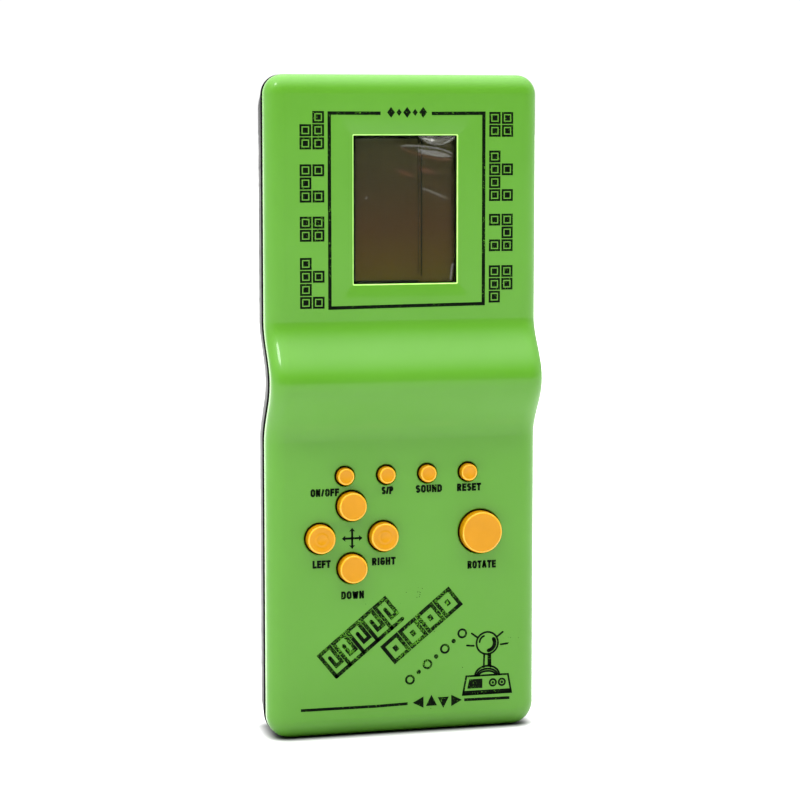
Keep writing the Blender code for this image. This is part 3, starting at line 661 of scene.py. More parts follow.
def back_round_sections(inset):
    """Outlines from the side of the rear shell round onto its back."""
    sections = []
    for sine, _ in quarter(BACK_STEPS):
        y = BACK_Y - inset - (BACK_ROUND_SIDE[1] - inset) * (1 - sine)
        insets = [back_inset(y, shape, inset) for shape in (BACK_ROUND_SIDE, BACK_ROUND_LOW, BACK_ROUND_HIGH)]
        sections.append((y, *insets, back_growth(y)))
    return sections


def back_growth(y):
    """How much rounder the corners of the rear shell are at this depth."""
    return BACK_CORNER_GROWTH * min(1.0, (y - SEAM_Y) / BACK_CORNER_REACH)


def lip_sections(y, toward):
    """A small rounding from the seam edge out onto the side; toward is -1 or 1 along Y."""
    return [(y + toward * LIP_ROUND * (1 - cosine), *(LIP_ROUND * (1 - sine),) * 3)
            for sine, cosine in quarter(4)]


def spot(node):
    """(x, z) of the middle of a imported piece."""
    low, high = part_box(node)
    return (low.x + high.x) / 2, (low.z + high.z) / 2


CASE_SCREWS = ("lower_left", "lower_right", "upper_left", "upper_right")
CASE_SPOTS = [spot("case_screw_" + place) for place in CASE_SCREWS]


# ---- buttons
KEYS = ("on_off", "start_pause", "sound", "reset", "up", "left", "right", "down", "rotate")


def key_radius(key):
    low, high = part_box("button_" + key)
    return (high.x - low.x) / 2 - FLANGE_EXTRA


def button_cap(key):
    """A cap with a rounded edge and painted shade on its sides in the gap; the side keys carry faint rings in
    the middle.
    """
    radius, (x, z) = key_radius(key), spot("button_" + key)
    top, end = (corner.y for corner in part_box("button_" + key))
    edge = BUTTON_EDGE
    crown = 0.06 * MM
    flat = radius - edge
    profile = [(0.0, top + crown)]
    if key in ("left", "right"):
        profile = [(share * radius, top + depth * MM) for share, depth in (
            (0.0, 0.20), (0.27, 0.20), (0.33, 0.08), (0.42, 0.05), (0.47, 0.14), (0.56, 0.14), (0.61, 0.06))]
    profile += [(flat * 0.88, top + crown), (flat * 0.96, top)]
    profile += [(flat + edge * sine, top + edge * (1 - cosine)) for sine, cosine in quarter(8, 1)]
    flange_y, wide = end - FLANGE_THICK, radius + FLANGE_EXTRA
    profile += [(radius, FACE_Y), (radius, flange_y), (wide, flange_y), (wide, end), (0.0, end)]
    cap = turned("cap_" + key, [(x, z)], profile, 64, ORANGE)
    cap.data.materials.append(ORANGE_EDGE)
    cap.data.materials.append(ORANGE_PAINTED_SHADE)
    # Painted highlight on the rim of the top, painted shade on the sides below the face
    for polygon in cap.data.polygons:
        reach = math.hypot(polygon.center.x - x, polygon.center.z - z)
        if flat + edge * 0.15 < reach < flat + edge * 0.75 and polygon.center.y < top + edge:
            polygon.material_index = 1
        elif polygon.center.y > FACE_Y:
            polygon.material_index = 2
    crisp(cap, 50)
    return settle(cap, "key_" + key, "button_plastic", "button_" + key)


def keypad():
    """The silicone sheet, and under each key a hollow dome."""
    low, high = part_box("keypad_mat")
    sheet_front = high.y - MAT_THICK
    dome_foot = sheet_front - DOME_SPLIT
    boss = spot("board_screw_middle")
    openings = [turned("opening_boss", [boss], hole_profile(BOSS_OPENING, low.y, high.y), 24)]
    for key in KEYS:
        x, z = spot("button_" + key)
        base = min(key_radius(key) + 0.1 * MM, 4.2 * MM)
        openings.append(turned("opening_" + key, [(x, z)], hole_profile(0.86 * base, low.y, high.y), 24))
        profile = [(0.0, low.y), (0.62 * base, low.y), (base, dome_foot), (0.86 * base, dome_foot),
                   (0.42 * base, low.y + DOME_WALL), (0.0, low.y + DOME_WALL)]
        dome = turned("keypad_dome_" + key, [(x, z)], profile, 24, SILICONE)
        crisp(dome, 30)
        settle(dome, "case", "silicone")
        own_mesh(dome)
    sheet = box("keypad_sheet", (low.x, sheet_front, low.z), high)
    sheet.data.materials.append(SILICONE)
    carve(sheet, "DIFFERENCE", *openings)
    crisp(sheet)
    settle(sheet, "case", "silicone", "keypad_mat")


def hole_profile(radius, y_low, y_high):
    return [(0.0, y_low), (radius, y_low), (radius, y_high + MM), (0.0, y_high + MM)]


# ---- front shell
def rounded_outline(half_x, half_z, radius, steps=5):
    """(x, z) points round a rectangle about the origin with rounded corners."""
    points = []
    for quarter, (sign_x, sign_z) in enumerate(((1, 1), (-1, 1), (-1, -1), (1, -1))):
        for i in range(steps + 1):
            angle = math.pi / 2 * (quarter + i / steps)
            points.append((sign_x * (half_x - radius) + radius * math.cos(angle),
                           sign_z * (half_z - radius) + radius * math.sin(angle)))
    return points


def window_cutter():
    """The window, its rounded rim and the sloped border around it, as one tapering solid."""
    slope = DISH_DEPTH / DISH_MARGIN
    steps = [(0.0, WALL * 2), (0.0, DISH_DEPTH + EDGE_ROUND)]
    for sine, cosine in quarter(ROUND_FEW, 1):
        outward = EDGE_ROUND * (1 - cosine)
        steps.append((outward, DISH_DEPTH + EDGE_ROUND * (1 - sine) - slope * outward))
    steps.append((DISH_MARGIN * 2, -DISH_DEPTH))
    bm = bmesh.new()
    rings = []
    for outward, depth in steps:
        outline = rounded_outline(WINDOW_HALF_X + outward, WINDOW_HALF_Z + outward, 0.3 * MM + outward * 0.3)
        rings.append([bm.verts.new((WINDOW_X + x, FACE_Y + depth, WINDOW_Z + z)) for x, z in outline])
    skin(bm, rings)
    bm.faces.new(rings[0])
    bm.faces.new(rings[-1])
    return add_object("window_cutter", bm)


def front_shell():
    shell = waved_block("shell_front", [*lip_sections(FRONT_EDGE_Y, -1), *face_round_sections(0)], GREEN)
    step_y = SEAM_Y - LIP_DEPTH
    hollow = waved_block("front_hollow", [
        (SEAM_Y + LIP_DEPTH, LIP_SKIN, LIP_SKIN, LIP_SKIN),
        (step_y, LIP_SKIN, LIP_SKIN, LIP_SKIN),
        (step_y, WALL, WALL, WALL),
        *face_round_sections(WALL)])
    holes = [turned("hole_" + key, [spot("button_" + key)],
                    flared_hole(key_radius(key) + BUTTON_CLEARANCE, FACE_Y, FACE_Y + 2 * WALL, -1), 64)
             for key in KEYS]
    carve(shell, "DIFFERENCE", hollow, window_cutter(), *holes)
    shell.data.materials.append(GREEN_RIM_HIGHLIGHT)
    shell.data.materials.append(GREEN_LIP_GLOSS_AND_HIGHLIGHT)
    # Painted highlight: the window's rim and the wall beside the seam get lighter copies of the green
    for polygon in shell.data.polygons:
        corners = [shell.data.vertices[i].co for i in polygon.vertices]
        if all(map(on_window_rim, corners)):
            polygon.material_index = 1
        elif all(map(on_seam_lip, corners)):
            polygon.material_index = 2
    crisp(shell)
    return settle(shell, "case", "front_plastic", "front_shell")


def on_window_rim(point):
    reach = EDGE_ROUND * 1.05
    return (abs(point.x - WINDOW_X) < WINDOW_HALF_X + reach
            and abs(point.z - WINDOW_Z) < WINDOW_HALF_Z + reach
            and point.y < FACE_Y + DISH_DEPTH + reach)


def on_seam_lip(point):
    """True on the outer side beside the seam, where the shell is thin."""
    depth = FRONT_EDGE_Y - (point.y + wave(point.z))
    return depth < LIP_DEPTH and outline_inset(point) < LIP_SKIN / 2


def outline_inset(point):
    """How far a point lies in from the rounded outline of the body."""
    radius = CORNER_LOW if point.z < HEIGHT / 2 else CORNER_HIGH
    over_x = abs(point.x) - (HALF_WIDTH - radius)
    over_z = max(radius - point.z, point.z - (HEIGHT - radius))
    if over_x > 0 and over_z > 0:
        return radius - math.hypot(over_x, over_z)
    return radius - max(over_x, over_z)


# ---- rear shell
BAY_HALF_WIDTH = 28.5 * MM
BAY_LOW_Z = 8.4 * MM
BAY_HIGH_Z = 39.0 * MM
BAY_FLOOR_Y = -1.6 * MM
BAY_WALL = 1.9 * MM
BAY_FLOOR_THICK = 1.4 * MM
BAY_END_WALL = 2.3 * MM
COVER_CORNER = 1.2 * MM
GRIP_HALF = 6.0 * MM
GRIP_DEPTH = 0.6 * MM
SCREW_HEAD = 1.6 * MM


def rear_shell():
    start = SEAM_Y + GAP / 2
    groove_end = start + GROOVE_WIDTH
    shell = waved_block("shell_rear", [(start, GROOVE, GROOVE, GROOVE), (groove_end, GROOVE, GROOVE, GROOVE),
                                       *lip_sections(groove_end, 1), *back_round_sections(0)[1:]], BLACK)
    tongue = waved_block("rear_tongue", [(SEAM_Y - TONGUE_REACH, *(TONGUE_INSET,) * 3),
                                         (SEAM_Y + WALL, *(TONGUE_INSET,) * 3)])
    bay_half = BAY_HALF_WIDTH + BAY_END_WALL
    bay_low = (-bay_half, BAY_FLOOR_Y - BAY_FLOOR_THICK, BAY_LOW_Z - BAY_WALL)
    bay_high = (bay_half, BACK_Y - WALL / 2, BAY_HIGH_Z + BAY_WALL)
    carve(shell, "UNION", tongue, box("bay_walls", bay_low, bay_high))

    hollow = waved_block("rear_hollow", [(SEAM_Y - 3 * WALL, WALL, WALL, WALL), *back_round_sections(WALL)])
    posts = turned("case_posts", CASE_SPOTS, [(CASE_POST_RADIUS, start), (CASE_POST_RADIUS, BACK_Y)], 32)
    carve(hollow, "DIFFERENCE", posts, box("bay_block", bay_low, bay_high))

    bay_room = box("bay_room", (-BAY_HALF_WIDTH, BAY_FLOOR_Y, BAY_LOW_Z),
                   (BAY_HALF_WIDTH, BACK_Y + WALL, BAY_HIGH_Z))
    recess = cover_block("cover_recess", GAP, COVER_LOW.y - GAP, BACK_Y + WALL)
    seat_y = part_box("case_screw_lower_left")[1].y - SCREW_HEAD - GAP
    wells = turned("screw_wells", CASE_SPOTS, flared_hole(CASE_WELL_RADIUS, BACK_Y, seat_y, 1), 40)
    clearance = turned("screw_clearance", CASE_SPOTS, [(CASE_SHANK_RADIUS + GAP, SEAM_Y - WALL),
                                                       (CASE_SHANK_RADIUS + GAP, seat_y + WALL)], 24)
    ring = [2 * math.pi * i / SPEAKER_HOLE_COUNT for i in range(SPEAKER_HOLE_COUNT)]
    spots = [(SPEAKER_HOLE_RING * math.cos(a), SPEAKER_Z + SPEAKER_HOLE_RING * math.sin(a)) for a in ring]
    spots.insert(0, (0.0, SPEAKER_Z))
    sound = turned("sound_holes", spots, flared_hole(SPEAKER_HOLE_RADIUS, BACK_Y, BACK_Y - 2 * WALL, 1), 24)
    carve(shell, "DIFFERENCE", hollow, bay_room, recess, wells, clearance, sound)
    crisp(shell)
    return settle(shell, "case", "rear_plastic", "rear_shell")


def cover_block(name, grow, y_low, y_high, material=None):
    """The battery cover's outline as a block, grown on all sides."""
    middle_x, middle_z = spot("battery_cover")
    half = (COVER_HIGH - COVER_LOW) / 2
    outline = rounded_outline(half.x + grow, half.z + grow, COVER_CORNER + grow)
    bm = bmesh.new()
    ends = [[bm.verts.new((middle_x + x, y, middle_z + z)) for x, z in outline] for y in (y_low, y_high)]
    skin(bm, ends)
    for end in ends:
        bm.faces.new(end)
    return add_object(name, bm, material)


def battery_cover():
    cover = cover_block("cover_plate", 0.0, COVER_LOW.y, BACK_Y, BLACK_TEXTURED)
    grips = bmesh.new()
    for i in range(3):
        z = COVER_HIGH.z - (4.5 + 2.2 * i) * MM
        put_box(grips, (-GRIP_HALF, BACK_Y - GRIP_DEPTH, z - 0.5 * MM), (GRIP_HALF, BACK_Y + MM, z + 0.5 * MM))
    carve(cover, "DIFFERENCE", add_object("cover_grips", grips))
    edges = cover.modifiers.new("rounded_edges", "BEVEL")
    edges.width = 0.25 * MM
    edges.segments = 3
    edges.limit_method = "ANGLE"
    crisp(cover)
    return settle(cover, "cover", "rear_plastic", "battery_cover")


# ---- cells and screws
CELL_REACH = 50.4
CELL_RIM = 6.8
# Radius and place along the cell in millimetres, from the flat negative end to the raised positive one
CELL_PROFILE = (
    (0, 0.25), (4.2, 0.25), (4.5, 0), (6.1, 0), (6.6, 0.3), (CELL_RIM, 0.6), (7.1, 0.7),
    (7.1, CELL_REACH - 2.0), (CELL_RIM, CELL_REACH - 1.9), (6.4, CELL_REACH - 1.5), (5.8, CELL_REACH - 1.3),
    (2.9, CELL_REACH - 1.2), (2.75, CELL_REACH - 1.1), (2.75, CELL_REACH - 0.2), (2.5, CELL_REACH),
    (0, CELL_REACH),
)


def cell(place, turn):
    """A sleeved cell with bare metal ends, laid along X with its positive end at the side it is turned to."""
    low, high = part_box("cell_" + place)
    bm = bmesh.new()
    put_turned(bm, 0.0, 0.0, [(radius * MM, along * MM) for radius, along in CELL_PROFILE], 48)
    start = (low + high) / 2
    start.x = low.x if turn < 0 else high.x
    bm.transform(Matrix.Translation(start) @ Matrix.Rotation(math.radians(turn), 4, "Z"))
    body = add_object("cell_body_" + place, bm, CELL_SLEEVE)
    body.data.materials.append(STEEL)
    for polygon in body.data.polygons:
        corners = [body.data.vertices[i].co - start for i in polygon.vertices]
        if all(math.hypot(corner.y, corner.z) < (CELL_RIM + 0.05) * MM for corner in corners):
            polygon.material_index = 1
    crisp(body)
    return settle(body, "case", "cell_sleeve", "cell_" + place)


def case_screw(place):
    """A pan-head self-tapping screw with a cross recess and a thread."""
    low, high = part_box("case_screw_" + place)
    x, z = spot("case_screw_" + place)
    head_radius, length = (high.x - low.x) / 2, high.y - low.y - SCREW_HEAD
    seat = high.y - SCREW_HEAD
    root = CASE_SHANK_RADIUS * 0.78
    profile = [(0.0, high.y)]
    profile += [(head_radius * sine, seat + SCREW_HEAD * (0.45 + 0.55 * cosine))
                for sine, cosine in quarter(6, 1)]
    profile += [(head_radius, seat), (CASE_SHANK_RADIUS * 0.8, seat)]
    turns = 5
    for i in range(turns):
        y = seat - length * 0.85 * (i + 0.5) / turns
        profile += [(root, y + 0.35 * MM), (CASE_SHANK_RADIUS, y), (root, y - 0.2 * MM)]
    profile.append((0.0, low.y))
    screw = turned("screw_" + place, [(x, z)], profile, 32, STEEL)
    arm, slot = head_radius * 0.62, 0.28 * MM
    cross = [box("cross", (x - wide, high.y - 0.9 * MM, z - tall), (x + wide, high.y + MM, z + tall))
             for wide, tall in ((arm, slot), (slot, arm))]
    carve(screw, "DIFFERENCE", *cross)
    crisp(screw, 40)
    return settle(screw, "case", "plated_steel", "case_screw_" + place)


# ---- display
# Tints of the painted sheen that stands for reflections on the film's creases
GREY_SHEEN = (0.80, 0.80, 0.74)
WARM_SHEEN = (0.80, 0.50, 0.34)


def bump_at(distance, width):
    return math.exp(-(distance / width) ** 2)


def blister(x, z):
    """A long blister that widens to the right, with a ridge round it; painted sheen on the ridge and on a
    patch inside.
    """
    length, tilt = 15.2, math.radians(-10.2)
    u, v = x + 0.95, z - 17.35
    share = (u * math.cos(tilt) + v * math.sin(tilt)) / length
    across = v * math.cos(tilt) - u * math.sin(tilt)
    if not 0.0 < share < 1.0:
        return 0.0, 0.0, GREY_SHEEN
    half = 2.7 * share ** 0.65 * (1 - share) ** 0.35
    ridge = bump_at(abs(across) - half, 0.26)
    inside = min(1.0, max(0.0, (half - 0.50 - abs(across + 0.15)) / 0.3))
    patch = inside * min(1.0, max(0.0, (share - 0.27) / 0.08))
    if across < -half / 2:
        return 0.04 * ridge, 0.06 * ridge + 0.11 * patch, GREY_SHEEN if patch > ridge else WARM_SHEEN
    return 0.04 * ridge, 0.13 * ridge + 0.11 * patch, GREY_SHEEN


def crinkles(x, z):
    """Sharp folds that hang in a bow from the top edge, with painted sheen and glints along them."""
    bow = 17.85 + 2.05 * ((x - 9.7) / 5.1) ** 2
    if z < bow - 0.5:
        return 0.0, 0.0, GREY_SHEEN
    inside = min(1.0, max(0.0, (z - bow) / 0.3))
    folds = 0.5 + 0.5 * math.sin(x / 0.55 + 2.6 * math.sin(z / 0.8 + x / 3.0))
    glint = bump_at(math.hypot((x - 8.0) / 1.5, z - 19.15), 0.45)
    upper = bump_at(z - 19.55 + 0.16 * (x - 6.0), 0.2) * (1.0 if 4.6 < x < 9.5 else 0.0)
    right = bump_at(z - 18.6 - 0.55 * (x - 12.2), 0.22) * (1.0 if 11.6 < x < 14.8 else 0.0)
    painted_sheen = inside * (0.06 + 0.07 * folds + 0.34 * glint + 0.22 * upper + 0.25 * right)
    return 0.12 * inside * folds, painted_sheen + 0.12 * bump_at(z - bow, 0.18), GREY_SHEEN


def small_marks(x, z):
    """One crease, two faint warm smears, a lifted lower right corner and a speck; their brightness is painted
    sheen.
    """
    fall = z - 5.9 + 0.40 * (x - 5.2)
    crease = bump_at(fall, 0.28 + 0.05 * (x - 5.0)) if 5.0 < x < 13.2 else 0.0
    crease *= min(1.0, (13.2 - x) / 3.0) if x > 5.0 else 0.0
    corner = bump_at(x - 13.6 - 0.6 * ((z + 18.9) / 3.5) ** 2, 0.25) if -19.6 < z < -15.2 else 0.0
    smear = sum(bump_at(math.hypot((x - u) / 3.0, (z - v + 0.3 * (x - u)) / 0.8), 0.7)
                for u, v in ((0.3, 10.0), (6.3, 10.8)))
    speck = bump_at(math.hypot(x + 10.8, z - 3.3), 0.28)
    grey = 0.06 * crease + 0.16 * corner + 0.25 * speck
    if smear > 0.05:
        return 0.0, grey + 0.06 * smear, WARM_SHEEN
    return 0.01 * crease + 0.1 * corner, grey, GREY_SHEEN


def film_state(x, z):
    """The film's lift toward the viewer in metres, and its painted sheen, at this place from the window's
    centre.
    """
    x, z = x / MM, z / MM
    lift = 0.015 * math.sin(x / 4.1 + 0.6) * math.sin(z / 5.3)
    amount, colour = 0.0, GREY_SHEEN
    for mark in (blister, crinkles, small_marks):
        more_lift, more_sheen, tint = mark(x, z)
        lift += more_lift
        if more_sheen > amount:
            colour = tint
        amount += more_sheen
    return lift * MM, (*colour, min(1.0, amount))


def display_film():
    """The wrinkled protective film: a thin sheet with both its faces."""
    thick = FILM_HIGH.y - FILM_LOW.y
    half_x, half_z = (FILM_HIGH.x - FILM_LOW.x) / 2, (FILM_HIGH.z - FILM_LOW.z) / 2
    columns, rows = 170, 230
    bm = bmesh.new()
    # Painted sheen: a whitish colour and amount at each corner, standing for reflections on the creases
    painted_sheen = bm.verts.layers.float_color.new("painted_sheen")
    layers = []
    for y in (FILM_LOW.y, FILM_LOW.y + thick):
        grid = []
        for i in range(columns + 1):
            x = half_x * (2 * i / columns - 1)
            line = []
            for j in range(rows + 1):
                z = half_z * (2 * j / rows - 1)
                inside = abs(x) < WINDOW_HALF_X + MM / 2 and abs(z) < WINDOW_HALF_Z + MM / 2
                lift, colour = film_state(x, z) if inside else (0.0, (0.0, 0.0, 0.0, 0.0))
                vert = bm.verts.new((WINDOW_X + x, y - lift, WINDOW_Z + z))
                vert[painted_sheen] = colour if y == FILM_LOW.y else (*colour[:3], 0.0)
                line.append(vert)
            grid.append(line)
        layers.append(grid)
    for grid in layers:
        for i in range(columns):
            for j in range(rows):
                bm.faces.new((grid[i][j], grid[i + 1][j], grid[i + 1][j + 1], grid[i][j + 1]))
    front, back = layers
    rim = ([(i, 0) for i in range(columns)] + [(columns, j) for j in range(rows)]
           + [(i, rows) for i in range(columns, 0, -1)] + [(0, j) for j in range(rows, 0, -1)])
    for (i, j), (m, n) in zip(rim, [*rim[1:], rim[0]]):
        bm.faces.new((front[i][j], front[m][n], back[m][n], back[i][j]))
    film = add_object("film", bm, clear_film())
    return settle(film, "case", "clear_film", "display_film")


def display_lines_and_border_shade():
    """The dark borders of the panel, a painted shadow where the window's walls shade it, and the divider down
    it with a fainter line beside it.
    """
    y = PANEL_LOW.y - 0.03 * MM
    low_x, high_x = WINDOW_X - WINDOW_HALF_X, WINDOW_X + WINDOW_HALF_X
    low_z, high_z = WINDOW_Z - WINDOW_HALF_Z, WINDOW_Z + WINDOW_HALF_Z
    divider = 5.42 * MM
    foot_end = 4.6 * MM
    bm = bmesh.new()
    for (x_low, z_low), (x_high, z_high) in (
            ((divider - 0.20 * MM, low_z + 1.9 * MM), (divider + 0.20 * MM, high_z)),
            ((divider - 1.00 * MM, low_z + 2.4 * MM), (divider - 0.82 * MM, high_z)),
            # The next four bands are painted shadow at the panel's borders
            ((low_x - MM, low_z - MM), (low_x + 0.95 * MM, high_z + MM)),
            ((low_x + 0.95 * MM, high_z - 0.90 * MM), (high_x + MM, high_z + MM)),
            ((low_x + 0.95 * MM, low_z - MM), (foot_end, low_z + 0.85 * MM)),
            ((foot_end, low_z - MM), (high_x + MM, low_z + 0.30 * MM))):
        put_box(bm, (x_low, y, z_low), (x_high, y + 0.02 * MM, z_high))
    lines = add_object("display_lines_and_border_shade", bm, DARK_LINE_AND_SHADE)
    return settle(lines, "case", "polariser")


def window_wall_shade():
    """A thin black sheet on the walls of the window: painted shade where the walls lie in shadow."""
    thick = 0.10 * MM
    y_low, y_high = FACE_Y + DISH_DEPTH + EDGE_ROUND + 0.1 * MM, FACE_Y + WALL
    half_x, half_z = WINDOW_HALF_X, WINDOW_HALF_Z
    bm = bmesh.new()
    for side in (-1, 1):
        x_inner, x_outer = sorted((WINDOW_X + side * (half_x - thick), WINDOW_X + side * half_x))
        put_box(bm, (x_inner, y_low, WINDOW_Z - half_z), (x_outer, y_high, WINDOW_Z + half_z))
        z_inner, z_outer = sorted((WINDOW_Z + side * (half_z - thick), WINDOW_Z + side * half_z))
        put_box(bm, (WINDOW_X - half_x + thick, y_low, z_inner), (WINDOW_X + half_x - thick, y_high, z_outer))
    wall_shade = add_object("window_wall_shade", bm, DARK_LINE_AND_SHADE)
    return settle(wall_shade, "case", "front_plastic")


# ---- printing
PRINT_Y = FACE_Y - 0.02 * MM
LINE_WIDTH = 0.95 * MM


def put_polygon(bm, points):
    bm.faces.new([bm.verts.new((x, PRINT_Y, z)) for x, z in points])


def in_mm(points):
    return [(x * MM, z * MM) for x, z in points]


def put_disc(bm, x, z, radius, steps=20):
    put_polygon(bm, arc(x, z, radius, 0, 360, steps)[:-1])


def put_stroke(bm, points, width, closed=False, round_ends=True):
    """A ribbon of even width along the points, mitred where they turn."""
    points = [Vector(p) for p in points]
    count = len(points)
    sides = []
    for i, point in enumerate(points):
        before = points[i - 1] if closed or i > 0 else None
        after = points[(i + 1) % count] if closed or i < count - 1 else None
        into = (point - before).normalized() if before is not None else None
        out = (after - point).normalized() if after is not None else None
        into = into or out
        out = out or into
        across = Vector((-(into.y + out.y), into.x + out.x)).normalized()
        reach = width / 2 / max(0.35, across.dot(Vector((-into.y, into.x))))
        sides.append((point + across * reach, point - across * reach))
    pairs = list(zip(sides, sides[1:] + sides[:1])) if closed else list(zip(sides, sides[1:]))
    for (left, right), (next_left, next_right) in pairs:
        put_polygon(bm, (left, right, next_right, next_left))
    if round_ends and not closed:
        for point in (points[0], points[-1]):
            put_disc(bm, point.x, point.y, width / 2, 14)


def arc(x, z, radius, start, end, steps=14, squash=1.0):
    """(x, z) points along an arc, angles in degrees."""
    angles = [math.radians(start + (end - start) * i / steps) for i in range(steps + 1)]
    return [(x + radius * math.cos(a), z + radius * squash * math.sin(a)) for a in angles]


def finish_print(name, bm, material=INK):
    obj = add_object(name, bm, material)
    for polygon in obj.data.polygons:
        if polygon.normal.y > 0:
            polygon.flip()
    return settle(obj, "case", "front_plastic")


def print_borders():
    """The rectangle round the display and the ruled line near the foot, both with a gap."""
    left, right, top, low_left, low_right = -21.54, 22.76, 174.3, 120.9, 121.35
    bm = bmesh.new()
    left_gap, right_gap = -7.0, 7.65
    rectangle = [(left_gap, top + 0.05), (left, top + 0.1), (left, 148.0), (left + 0.05, 147.0),
                 (left + 0.05, low_left), (right, low_right), (right + 0.02, 150.0), (right, top + 0.1),
                 (right_gap, top)]
    put_stroke(bm, in_mm(rectangle), LINE_WIDTH, round_ends=False)
    for points in (((-30.2, 8.3), (-8.0, 8.25), (0.8, 8.45)), ((17.5, 8.55), (31.0, 8.4))):
        put_stroke(bm, in_mm(points), 0.82 * MM, round_ends=False)
    return finish_print("print_borders", bm)


def print_ornaments():
    """A row of diamonds in the upper gap and of arrowheads in the lower one."""
    bm = bmesh.new()
    for i in range(5):
        x, z, reach = (0.6 + (i - 2) * 2.3) * MM, 174.6 * MM, (1.5 if i % 2 == 0 else 1.0) * MM
        put_polygon(bm, [(x + reach * 0.75, z), (x, z + reach), (x - reach * 0.75, z), (x, z - reach)])
    for i, turn in enumerate((180, 90, 270, 0)):
        x, z, reach = (4.3 + i * 3.5) * MM, 8.6 * MM, 2.0 * MM
        put_polygon(bm, [(x + reach * math.cos(math.radians(turn + spoke)),
                          z + reach * math.sin(math.radians(turn + spoke))) for spoke in (0, 125, 235)])
    return finish_print("print_ornaments", bm)


TILE = 3.3 * MM
TILE_RULE = 0.58 * MM
TILE_CORE = 1.5 * MM
TILE_PITCH = 3.58 * MM
TILE_COLUMNS = ((-28.28 * MM, -24.65 * MM), (26.0 * MM, 29.68 * MM))
# Side, height of the top row's centre, then one row of the two columns after another
TILE_GROUPS = (
    (0, 173.3 * MM, (".X", "XX", "XX")),
    (0, 158.8 * MM, ("XX", "X.", "XX")),
    (0, 144.5 * MM, ("XX", "XX")),
    (0, 133.2 * MM, ("X.", "XX", "X.", "XX")),
    (1, 173.1 * MM, ("XX", "XX")),
    (1, 162.4 * MM, ("X.", "XX", "X.", "XX")),
    (1, 144.8 * MM, ("XX", ".X", "XX")),
    (1, 130.4 * MM, ("XX", "XX", "X.")),
)


def put_tile(bm, x, z):
    """A square ring with a solid middle."""

    def square(half):
        return [(x - half, z - half), (x + half, z - half), (x + half, z + half), (x - half, z + half)]

    put_stroke(bm, square((TILE - TILE_RULE) / 2), TILE_RULE, closed=True)
    put_polygon(bm, square(TILE_CORE / 2))


def print_tiles():
    bm = bmesh.new()
    for side, top, rows in TILE_GROUPS:
        for row, marks in enumerate(rows):
            for column, mark in enumerate(marks):
                if mark == "X":
                    put_tile(bm, TILE_COLUMNS[side][column], top - row * TILE_PITCH)
    return finish_print("print_tiles", bm)


# Plain words beside the keys: text, left, right, low, high in millimetres
LABELS = (
    ("ON/OFF", -27.2, -19.0, 68.45, 70.65),
    ("S/P", -6.8, -3.4, 68.45, 70.65),
    ("SOUND", 3.1, 10.8, 68.5, 70.7),
    ("RESET", 15.2, 22.3, 68.5, 70.7),
    ("LEFT", -26.7, -21.5, 48.35, 50.55),
    ("RIGHT", -9.6, -2.7, 48.45, 50.65),
    ("DOWN", -18.5, -11.9, 39.25, 41.5),
    ("ROTATE", 18.35, 26.8, 46.25, 48.5),
)

LABEL_WEIGHT = 0.60 * MM
LETTER_GAP = 0.54
# How far a letter's corner is cut off
CUT = 0.17
# Each letter as strokes over a height of 1; a stroke that ends where it starts is closed
LETTERS = {
    "A": [((-0.03, -0.13), (0.24, 1), (0.36, 1), (0.63, -0.13)), ((0.11, 0.32), (0.49, 0.32))],
    "D": [((0, 0), (0.36, 0), (0.56, CUT), (0.56, 1 - CUT), (0.36, 1), (0, 1), (0, 0))],
    "E": [((0.50, 0), (0, 0), (0, 1), (0.50, 1)), ((0, 0.52), (0.44, 0.52))],
    "F": [((0, 0), (0, 1), (0.48, 1)), ((0, 0.52), (0.42, 0.52))],
    "G": [((0.56, 1 - CUT), (0.42, 1), (CUT, 1), (0, 1 - CUT), (0, CUT), (CUT, 0), (0.42, 0), (0.56, CUT),
           (0.56, 0.46), (0.32, 0.46))],
    "H": [((0, 0), (0, 1)), ((0.55, 0), (0.55, 1)), ((0, 0.52), (0.55, 0.52))],
    "I": [((0, 0), (0, 1))],
    "L": [((0, 1), (0, 0), (0.46, 0))],
    "N": [((0, 0), (0, 1)), ((0, 1), (0.56, 0)), ((0.56, 0), (0.56, 1))],
    "O": [((CUT, 0), (0.42, 0), (0.59, CUT), (0.59, 1 - CUT), (0.42, 1), (CUT, 1), (0, 1 - CUT), (0, CUT),
           (CUT, 0))],
    "P": [((0, 0), (0, 1), (0.38, 1), (0.53, 0.87), (0.53, 0.62), (0.38, 0.48), (0, 0.48))],
    "R": [((0, 0), (0, 1), (0.38, 1), (0.53, 0.87), (0.53, 0.64), (0.38, 0.50), (0, 0.50)),
          ((0.32, 0.50), (0.58, -0.14))],
    "S": [((0, 0.20), (CUT, 0), (0.38, 0), (0.54, CUT), (0.54, 0.36), (0.38, 0.49), (CUT, 0.54), (0.01, 0.68),
           (0.01, 0.85), (CUT, 1), (0.38, 1), (0.52, 0.82))],
    "T": [((0.27, 0), (0.27, 1)), ((0, 1), (0.54, 1))],
    "U": [((0, 1), (0, CUT), (CUT, 0), (0.40, 0), (0.56, CUT), (0.56, 1))],
    "W": [((0, 1.13), (0.20, 0), (0.24, 0), (0.42, 0.86), (0.46, 0.86), (0.64, 0), (0.68, 0), (0.88, 1.13))],
    "/": [((0, -0.13), (0.34, 1.13))],
}


def squared(points, reach):
    """The same stroke, its level and upright ends carried on by reach."""
    for tip, neighbour in ((0, 1), (-1, -2)):
        way = (points[tip] - points[neighbour]).normalized()
        if min(abs(way.x), abs(way.y)) < 0.001:
            points[tip] = points[tip] + way * reach
    return points


